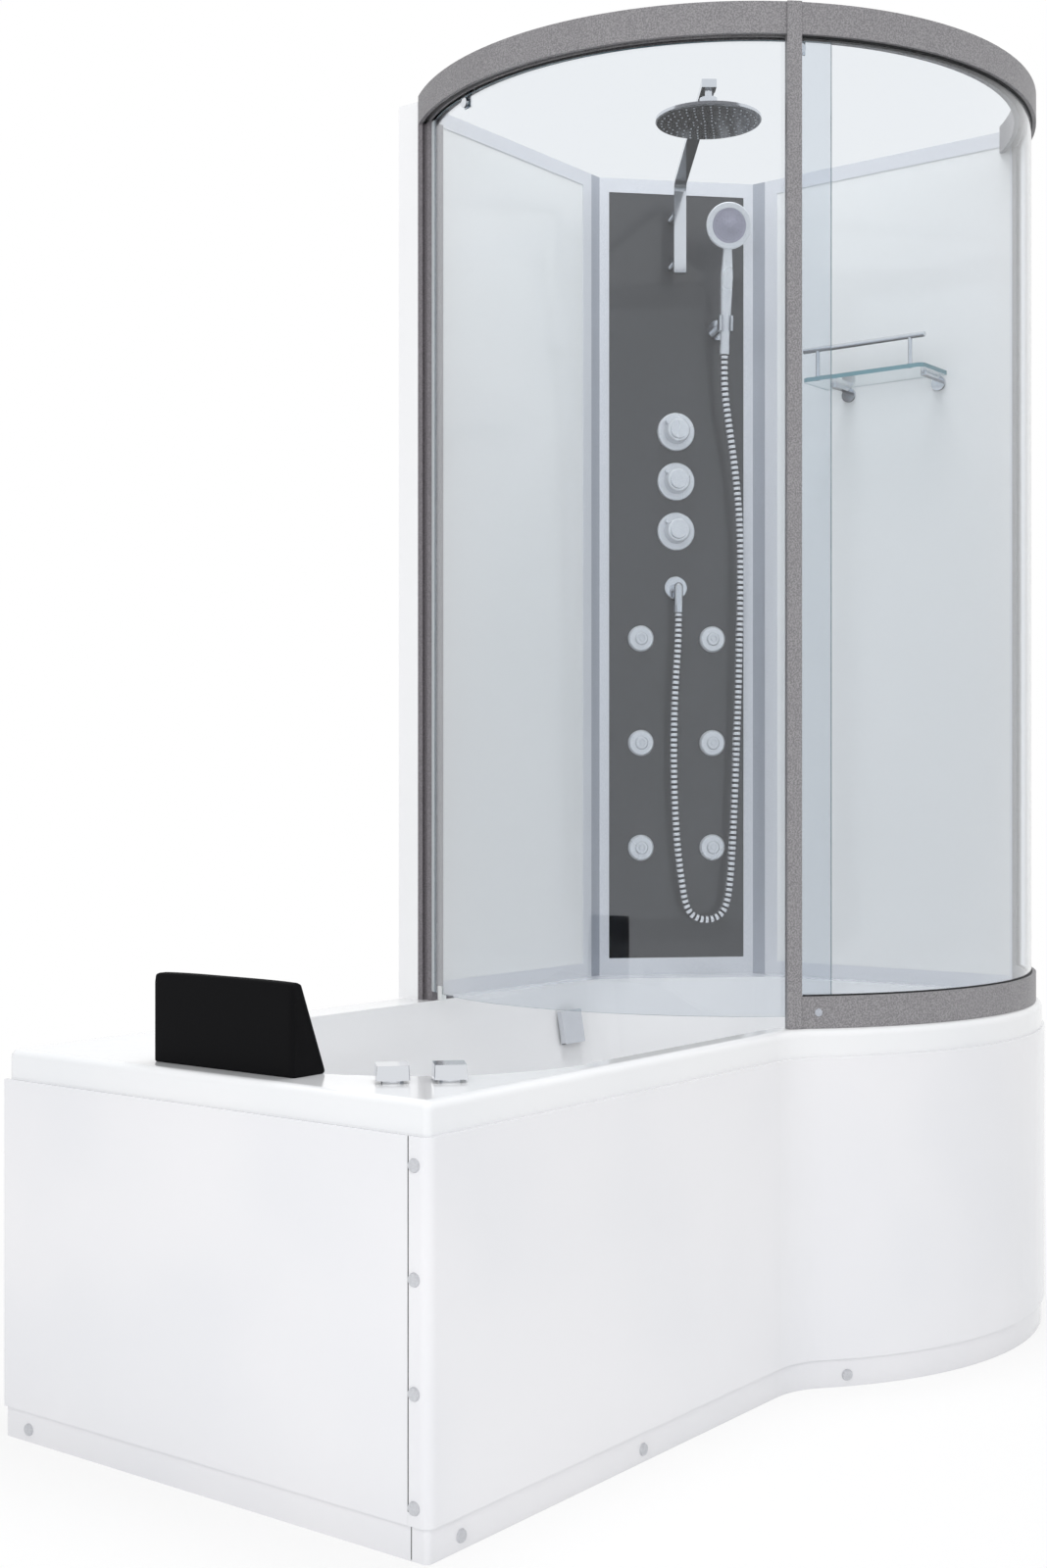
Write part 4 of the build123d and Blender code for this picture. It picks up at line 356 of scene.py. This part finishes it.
hosePoints = [columnPoint(t / 1000, off / 1000, z / 1000) for t, z, off in hose["route"]]
hosePoints += [handsetFoot - handsetAxis * hose["lastRun"], handsetFoot]


def makeHoseTree():
    # A tube along the spline whose radius steps in and out once for each rib
    tree = bpy.data.node_groups.new("hoseRibs", "GeometryNodeTree")
    tree.interface.new_socket("Geometry", in_out="INPUT", socket_type="NodeSocketGeometry")
    sizes = (("Radius", hose["radius"]), ("Groove", hose["groove"]), ("Ribs", float(hose["ribs"])))
    for name, value in sizes:
        socket = tree.interface.new_socket(name, in_out="INPUT", socket_type="NodeSocketFloat")
        socket.default_value = value
    socket = tree.interface.new_socket("Samples", in_out="INPUT", socket_type="NodeSocketInt")
    socket.default_value = hose["ribs"] * 8 + 1
    tree.interface.new_socket("Geometry", in_out="OUTPUT", socket_type="NodeSocketGeometry")
    given = addNode(tree, "NodeGroupInput").outputs
    line = addNode(tree, "GeometryNodeResampleCurve", {"Curve": given["Geometry"], "Count": given["Samples"]})
    share = addNode(tree, "GeometryNodeSplineParameter")
    turns = addNode(tree, "ShaderNodeMath", {0: share.outputs["Factor"], 1: given["Ribs"]},
                    operation="MULTIPLY")
    phase = addNode(tree, "ShaderNodeMath", {0: turns.outputs[0]}, operation="FRACT")
    raised = addNode(tree, "ShaderNodeMapRange",
                     {"Value": phase.outputs[0], "From Min": 0.02, "From Max": 0.26})
    lowered = addNode(tree, "ShaderNodeMapRange",
                      {"Value": phase.outputs[0], "From Min": 0.62, "From Max": 0.86,
                       "To Min": 1.0, "To Max": 0.0})
    rib = addNode(tree, "ShaderNodeMath", {0: raised.outputs["Result"], 1: lowered.outputs["Result"]},
                  operation="MINIMUM")
    radius = addNode(tree, "ShaderNodeMapRange", {"Value": rib.outputs[0], "To Min": given["Groove"],
                                                  "To Max": given["Radius"]})
    marked = addNode(tree, "GeometryNodeStoreNamedAttribute",
                     {"Geometry": line.outputs["Curve"], "Name": "rib", "Value": rib.outputs[0]},
                     data_type="FLOAT", domain="POINT")
    circle = addNode(tree, "GeometryNodeCurvePrimitiveCircle", {"Resolution": 16, "Radius": 1.0})
    tube = addNode(tree, "GeometryNodeCurveToMesh",
                   {"Curve": marked.outputs["Geometry"], "Profile Curve": circle.outputs["Curve"],
                    "Scale": radius.outputs["Result"], "Fill Caps": True})
    dressed = addNode(tree, "GeometryNodeSetMaterial",
                      {"Geometry": tube.outputs["Mesh"], "Material": materials["ribbedHose"]})
    solid = addNode(tree, "GeometryNodeRealizeInstances", {"Geometry": dressed.outputs["Geometry"]})
    addNode(tree, "NodeGroupOutput", {"Geometry": solid.outputs["Geometry"]})
    return tree


def ribbedMetal():
    # Wound stainless strip: bright rolled ribs with painted shade in the gaps between them
    material, tree, shader = startMaterial("ribbedHoseSteel")
    setShader(shader, Metallic=0.75)
    rib = addNode(tree, "ShaderNodeAttribute", attribute_name="rib")
    # Painted shade: the base colour turns dark grey in the grooves between the ribs
    grooveShadeMask = smooth(tree, rib.outputs["Fac"], 0.35, 0.8)
    base = mixColours(tree, grooveShadeMask, toLinear("3a3b40"), toLinear("f2f3f6"))
    tree.links.new(base, shader.inputs["Base Color"])
    tree.links.new(smooth(tree, rib.outputs["Fac"], 0.3, 0.9, 0.5, 0.22), shader.inputs["Roughness"])
    return material


materials["ribbedHose"] = ribbedMetal()


def makeHose():
    curve = bpy.data.curves.new("hoseLine", "CURVE")
    curve.dimensions = "3D"
    spline = curve.splines.new("NURBS")
    spline.points.add(len(hosePoints) - 1)
    for item, place in zip(spline.points, hosePoints):
        item.co = (*place, 1.0)
    spline.order_u = 3
    spline.use_endpoint_u = True
    spline.resolution_u = 24
    line = bpy.data.objects.new("hoseLine", curve)
    bpy.context.scene.collection.objects.link(line)
    plain = bpy.data.meshes.new_from_object(line.evaluated_get(bpy.context.evaluated_depsgraph_get()))
    path = [vertex.co.copy() for vertex in plain.vertices]
    modifier = line.modifiers.new("ribs", "NODES")
    modifier.node_group = makeHoseTree()
    view = line.evaluated_get(bpy.context.evaluated_depsgraph_get())
    mesh = bpy.data.meshes.new_from_object(view)
    mesh.name = "ribbedHose"
    bpy.data.objects.remove(line)
    for polygon in mesh.polygons:
        polygon.use_smooth = True
    piece = bpy.data.objects.new("ribbedHose", mesh)
    bpy.context.scene.collection.objects.link(piece)
    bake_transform(piece)
    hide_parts("shower_hose")
    return path


hosePath = makeHose()
print("hose made:", len(hosePath), "points on its line")

# Headrest: a moulded foam wedge, crowned on its sloping face and drawn in at both ends
headrest = {
    "left": -0.805, "front": -0.045, "length": 0.265, "base": 0.5603,
    "section": [(0.0, 0.0, 0.003), (0.067, 0.0, 0.004), (0.019, 0.124, 0.005), (0.0, 0.124, 0.004)],
    "endRound": 0.006, "pull": 0.015, "stations": 26, "cornerSteps": 5,
}


def roundedSection(corners, steps):
    points = []
    count = len(corners)
    for index, (x, z, radius) in enumerate(corners):
        here = Vector((x, z))
        before = (Vector(corners[index - 1][:2]) - here).normalized()
        after = (Vector(corners[(index + 1) % count][:2]) - here).normalized()
        half = before.angle(after) / 2
        reach = radius / math.tan(half)
        centre = here + (before + after).normalized() * (radius / math.sin(half))
        start = here + before * reach - centre
        end = here + after * reach - centre
        for step in range(steps + 1):
            spoke = start.lerp(end, step / steps).normalized() * radius
            points.append(centre + spoke)
    return points


def makeHeadrest():
    outline = roundedSection(headrest["section"], headrest["cornerSteps"])
    middle = sum((point.x for point in outline), 0.0) / len(outline)
    form = bmesh.new()
    rings = []
    half = headrest["length"] / 2
    for index in range(headrest["stations"] + 1):
        share = math.sin((index / headrest["stations"] - 0.5) * math.pi)
        fromEnd = (1 - abs(share)) * half
        shrink = 1 - headrest["pull"] * share ** 4
        if fromEnd < headrest["endRound"]:
            turn = 1 - fromEnd / headrest["endRound"]
            shrink -= 0.16 * (1 - math.sqrt(1 - turn ** 2))
        y = headrest["front"] + half + share * half
        rings.append([form.verts.new((headrest["left"] + middle * (1 - shrink) + point.x * shrink, y,
                                      headrest["base"] + point.y * shrink)) for point in outline])
    mesh = tubeMesh("headrestCushion", form, rings)
    for polygon in mesh.polygons:
        polygon.use_smooth = len(polygon.vertices) == 4
    piece = addMesh("headrestCushion", mesh, "foam", "bath")
    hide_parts("headrest")


makeHeadrest()
print("headrest made")

# Spray nozzles: rows of soft pegs under the rain head and on the handset's face
pegs = {"sides": 10, "taper": 0.6}


def makePegTree():
    tree = bpy.data.node_groups.new("sprayPegs", "GeometryNodeTree")
    tree.interface.new_socket("Geometry", in_out="INPUT", socket_type="NodeSocketGeometry")
    tree.interface.new_socket("Peg Radius", in_out="INPUT", socket_type="NodeSocketFloat")
    tree.interface.new_socket("Peg Height", in_out="INPUT", socket_type="NodeSocketFloat")
    tree.interface.new_socket("Turn", in_out="INPUT", socket_type="NodeSocketRotation")
    tree.interface.new_socket("Finish", in_out="INPUT", socket_type="NodeSocketMaterial")
    tree.interface.new_socket("Geometry", in_out="OUTPUT", socket_type="NodeSocketGeometry")
    given = addNode(tree, "NodeGroupInput").outputs
    tip = addNode(tree, "ShaderNodeMath", {0: given["Peg Radius"], 1: pegs["taper"]}, operation="MULTIPLY")
    cone = addNode(tree, "GeometryNodeMeshCone", {"Vertices": pegs["sides"], "Radius Top": tip.outputs[0],
                                                  "Radius Bottom": given["Peg Radius"],
                                                  "Depth": given["Peg Height"]})
    placed = addNode(tree, "GeometryNodeInstanceOnPoints",
                     {"Points": given["Geometry"], "Instance": cone.outputs["Mesh"],
                      "Rotation": given["Turn"]})
    solid = addNode(tree, "GeometryNodeRealizeInstances", {"Geometry": placed.outputs["Instances"]})
    dressed = addNode(tree, "GeometryNodeSetMaterial",
                      {"Geometry": solid.outputs["Geometry"], "Material": given["Finish"]})
    addNode(tree, "NodeGroupOutput", {"Geometry": dressed.outputs["Geometry"]})
    return tree


pegTree = makePegTree()


def ringSpots(centre, sideways, upward, rings):
    spots = []
    for radius, count in rings:
        for index in range(count):
            angle = 2 * math.pi * (index + 0.5 * (count % 12 == 0)) / count
            spots.append(centre + (sideways * math.cos(angle) + upward * math.sin(angle)) * radius)
    return spots


def addPegs(name, spots, radius, height, facing, finish, body):
    base = bpy.data.meshes.new(name + "Spots")
    base.from_pydata([tuple(spot) for spot in spots], [], [])
    holder = bpy.data.objects.new(name, base)
    bpy.context.scene.collection.objects.link(holder)
    modifier = holder.modifiers.new("pegs", "NODES")
    modifier.node_group = pegTree
    turn = Vector(facing).to_track_quat("Z", "Y").to_euler()
    values = {"Peg Radius": radius, "Peg Height": height, "Turn": turn, "Finish": materials[finish]}
    for item in pegTree.interface.items_tree:
        if item.in_out == "INPUT" and item.name in values:
            modifier[item.identifier] = values[item.name]
    view = holder.evaluated_get(bpy.context.evaluated_depsgraph_get())
    mesh = bpy.data.meshes.new_from_object(view)
    bpy.data.objects.remove(holder)
    return addMesh(name, mesh, None, body)


rainHead = {
    "centre": (0.2129, -0.0406, 2.0700), "pegRadius": 0.0019, "pegHeight": 0.0016,
    "rings": [(0.012, 6), (0.026, 12), (0.040, 18), (0.054, 24), (0.068, 30), (0.080, 36)],
    "disc": [(0, 0.0006), (0.082, 0.0006), (0.0845, 0.0002), (0.0850, -0.0008), (0, -0.0008)],
}
addPegs("rainHeadNozzles", ringSpots(Vector(rainHead["centre"]), Vector((1, 0, 0)), Vector((0, 1, 0)),
                                     rainHead["rings"]),
        rainHead["pegRadius"], rainHead["pegHeight"], (0, 0, -1), "silicone", "overhead_shower")
handsetFace = {
    "reach": 0.248, "forward": 0.0105, "discForward": 0.0098, "pegRadius": 0.0012, "pegHeight": 0.0012,
    "rings": [(0.006, 6), (0.013, 12), (0.020, 18), (0.027, 24)],
    "disc": [(0, 0.0007), (0.0105, 0.0007), (0.0112, 0.0002), (0.0300, 0.0002), (0.0306, 0.0008),
             (0.0335, 0.0008), (0.0340, -0.0006), (0, -0.0006)],
}
faceCentre = handsetFoot + handsetAxis * handsetFace["reach"] + handsetNormal * handsetFace["forward"]
addPegs("handsetNozzles", ringSpots(faceCentre, columnAlong, handsetAxis, handsetFace["rings"]),
        handsetFace["pegRadius"], handsetFace["pegHeight"], handsetNormal, "lilac", "hand_shower")
print("spray pegs made")


# Curved strips: gaskets that follow the round of the cabin

def addStrip(name, inner, outer, start, end, low, high, finish, body, slotName):
    count = max(8, int(abs(end - start) / 1.5))
    form = bmesh.new()
    rings = []
    for index in range(count + 1):
        degrees = start + (end - start) * index / count
        rings.append([form.verts.new(cabinPoint(radius, degrees, height))
                      for radius, height in ((inner, low), (outer, low), (outer, high), (inner, high))])
    return addMesh(name, tubeMesh(name, form, rings), finish, body)


gaskets = {
    "arc": (225.2, 306.2),
    "strips": [  # name, inner and outer radius, low and high edge
        ("topGlassGasket", 0.5497, 0.5509, 2.1122, 2.1170),
        ("topGlassGasketOuter", 0.5571, 0.5583, 2.1122, 2.1170),
        ("bottomGlassGasket", 0.5571, 0.5584, 0.6080, 0.6125),
    ],
}
for name, inner, outer, low, high in gaskets["strips"]:
    addStrip(name, inner, outer, *gaskets["arc"], low, high, "gasket", "bath", "black_plastic")
print("gaskets made")

# Turned and drawn pieces: discs about an axis, and thin rods

def addLathe(name, centre, axis, profile, finish, body, sides=64):
    axis = Vector(axis).normalized()
    turn = axis.to_track_quat("Z", "Y")
    form = bmesh.new()
    rings = []
    for radius, height in profile:
        if radius == 0:
            rings.append([form.verts.new(Vector(centre) + turn @ Vector((0, 0, height)))])
            continue
        rings.append([form.verts.new(Vector(centre) + turn @ Vector((radius * math.cos(angle),
                                                                    radius * math.sin(angle), height)))
                      for angle in (2 * math.pi * step / sides for step in range(sides))])
    for first, second in zip(rings, rings[1:]):
        for index in range(sides):
            after = (index + 1) % sides
            corners = [first[index % len(first)], first[after % len(first)],
                       second[after % len(second)], second[index % len(second)]]
            form.faces.new(list(dict.fromkeys(corners)))
    mesh = formMesh(name, form)
    for polygon in mesh.polygons:
        polygon.use_smooth = True
    mesh.set_sharp_from_angle(angle=math.radians(40))
    return addMesh(name, mesh, finish, body)


def addRod(name, start, end, radius, finish, body, sides=10):
    length = (Vector(end) - Vector(start)).length
    soft = radius * 0.4
    profile = [(0, 0), (radius - soft, 0), (radius, soft), (radius, length - soft), (radius - soft, length),
               (0, length)]
    return addLathe(name, start, Vector(end) - Vector(start), profile, finish, body, sides)


addLathe("rainHeadFace", rainHead["centre"], (0, 0, -1), rainHead["disc"], "darkChrome",
         "overhead_shower")
discCentre = handsetFoot + handsetAxis * handsetFace["reach"] + handsetNormal * handsetFace["discForward"]
addLathe("handsetFace", discCentre, handsetNormal, handsetFace["disc"], "lilac", "hand_shower")

# Controls: each knob carries a crescent rib round its dial
controls = {
    "along": 0.156, "heights": {"upper": 1.650, "middle": 1.550, "lower": 1.450}, "face": 0.0313,
    "crescentRadius": 0.0165, "crescentThick": 0.0016, "crescentArc": (150, 330),
}


def addCrescent(name, centre, axis, radius, thick, startDegrees, endDegrees, finish, body, slotName,
                count=28):
    turn = Vector(axis).to_track_quat("Z", "Y")
    form = bmesh.new()
    rings = []
    for index in range(count + 1):
        share = index / count
        angle = math.radians(startDegrees + (endDegrees - startDegrees) * share)
        width = thick * max(0.12, math.sin(math.pi * share))
        ring = []
        for side in range(8):
            around = 2 * math.pi * side / 8
            reach = radius + width * math.cos(around)
            ring.append(form.verts.new(Vector(centre) + turn @ Vector((reach * math.cos(angle),
                                                                      reach * math.sin(angle),
                                                                      0.6 * width * math.sin(around)))))
        rings.append(ring)
    mesh = tubeMesh(name, form, rings)
    for polygon in mesh.polygons:
        polygon.use_smooth = len(polygon.vertices) == 4
    return addMesh(name, mesh, finish, body)


for level, height in controls["heights"].items():
    addCrescent(level + "KnobCrescent", columnPoint(controls["along"], controls["face"], height), columnOut,
                controls["crescentRadius"], controls["crescentThick"], *controls["crescentArc"],
                "chrome", level + "_control", "chrome")
print("controls detailed")

# Seams: thin dark rods as painted shade in the gap at the corner of the aprons, and the plug in the bottom
# rail
seams = {
    "radius": 0.0009, "front": -0.2782,
    "rods": [("apronGapShade", -0.8466, 0.062, 0.517), ("plinthGapShade", -0.8402, 0.002, 0.060)],
}
# Painted shade: each dark rod stands in for the shadow inside the corner gap of the apron and of the plinth
for name, x, foot, top in seams["rods"]:
    addRod(name, (x, seams["front"], foot), (x, seams["front"], top), seams["radius"], "gasket", "bath")
railPlug = {
    "degrees": 227.6, "height": 0.585, "reach": 0.565, "sides": 32,
    "disc": [(0, 0.0012), (0.0042, 0.0012), (0.0060, 0.0004), (0.0062, -0.0010), (0, -0.0010)],
}
plugCentre = cabinPoint(railPlug["reach"], railPlug["degrees"], railPlug["height"])
plugAxis = cabinPoint(1.0, railPlug["degrees"], 0) - cabinPoint(0.0, railPlug["degrees"], 0)
addLathe("railPlug", plugCentre, plugAxis, railPlug["disc"], "cornerProfile", "bath",
         railPlug["sides"])
print("seams and plug made")

# Studio: a white floor, a white surround and three soft lamps
studio = {
    "floorSize": 14.0, "floorColour": "f4f4f4", "fade": (1.0, 2.4), "nearGlow": 0.8,
    "surround": (0.97, 0.985, 1, 1), "surroundStrength": 0.64, "target": (0.1, 0.0, 0.9),
    "lamps": [  # name, place, size, power
        ("keyLamp", (-4.4, -2.2, 2.6), 3.0, 78.0),
        ("fillLamp", (2.6, -3.8, 2.6), 3.2, 8.0),
        ("topLamp", (0.25, -0.1, 4.0), 1.6, 62.0),
    ],
}


def whiteToCamera(tree):
    # Cameras, mirrors and glass see plain white; everything else sees the lit surface
    rays = addNode(tree, "ShaderNodeLightPath")
    direct = addNode(tree, "ShaderNodeMath",
                     {0: rays.outputs["Is Camera Ray"], 1: rays.outputs["Is Glossy Ray"]}, operation="MAXIMUM")
    seen = addNode(tree, "ShaderNodeMath", {0: direct.outputs[0], 1: rays.outputs["Is Transmission Ray"]},
                   operation="MAXIMUM")
    return seen.outputs[0]


def makeWorld():
    world = bpy.data.worlds.new("studioSurround")
    bpy.context.scene.world = world
    world.use_nodes = True
    tree = world.node_tree
    tree.nodes.clear()
    seen = whiteToCamera(tree)
    bright = addNode(tree, "ShaderNodeBackground", {"Color": (1, 1, 1, 1), "Strength": 1.0})
    soft = addNode(tree, "ShaderNodeBackground", {"Color": studio["surround"],
                                                  "Strength": studio["surroundStrength"]})
    mixed = addNode(tree, "ShaderNodeMixShader", {0: seen, 1: soft.outputs[0], 2: bright.outputs[0]})
    addNode(tree, "ShaderNodeOutputWorld", {"Surface": mixed.outputs[0]})


def makeFloor():
    mesh = bpy.data.meshes.new("studioFloor")
    half = studio["floorSize"] / 2
    corners = [(-half, -half, 0), (half, -half, 0), (half, half, 0), (-half, half, 0)]
    mesh.from_pydata(corners, [], [(0, 1, 2, 3)])
    floor = bpy.data.objects.new("studioFloor", mesh)
    bpy.context.scene.collection.objects.link(floor)
    material, tree, shader = startMaterial("floorPaint")
    setShader(shader, Base_Color=toLinear(studio["floorColour"]), Roughness=0.9)
    glow = addNode(tree, "ShaderNodeEmission", {"Color": (1, 1, 1, 1), "Strength": 1.0})
    seen = whiteToCamera(tree)
    place = addNode(tree, "ShaderNodeTexCoord").outputs["Object"]
    distance = addNode(tree, "ShaderNodeVectorMath", {0: place}, operation="LENGTH")
    fade = smooth(tree, distance.outputs["Value"], *studio["fade"], studio["nearGlow"], 1.0)
    share = addNode(tree, "ShaderNodeMath", {0: seen, 1: fade}, operation="MULTIPLY")
    mixed = addNode(tree, "ShaderNodeMixShader", {0: share.outputs[0], 1: shader.outputs[0],
                                                  2: glow.outputs[0]})
    tree.links.new(mixed.outputs[0], tree.nodes["Material Output"].inputs["Surface"])
    mesh.materials.append(material)
    floor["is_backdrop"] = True


def makeLamps():
    target = Vector(studio["target"])
    for name, place, size, power in studio["lamps"]:
        light = bpy.data.lights.new(name, "AREA")
        light.shape = "DISK"
        light.size = size
        light.energy = power
        lamp = bpy.data.objects.new(name, light)
        lamp.location = place
        lamp.visible_glossy = False
        lamp.visible_transmission = False
        lamp.rotation_euler = (target - Vector(place)).to_track_quat("-Z", "Y").to_euler()
        bpy.context.scene.collection.objects.link(lamp)


camera = {"place": (-2.6742, -1.8513, 0.9427), "heading": -52.595, "lens": 45.67, "sensor": 36.0}


def makeCamera():
    data = bpy.data.cameras.new("viewCamera")
    data.lens = camera["lens"]
    data.sensor_width = camera["sensor"]
    data.sensor_fit = "AUTO"
    view = bpy.data.objects.new("viewCamera", data)
    view.location = camera["place"]
    view.rotation_euler = (math.radians(90), 0, math.radians(camera["heading"]))
    bpy.context.scene.collection.objects.link(view)
    bpy.context.scene.camera = view


makeWorld()
makeFloor()
makeLamps()
makeCamera()
bpy.context.scene.view_settings.view_transform = "Standard"
print("studio ready")

low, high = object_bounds()
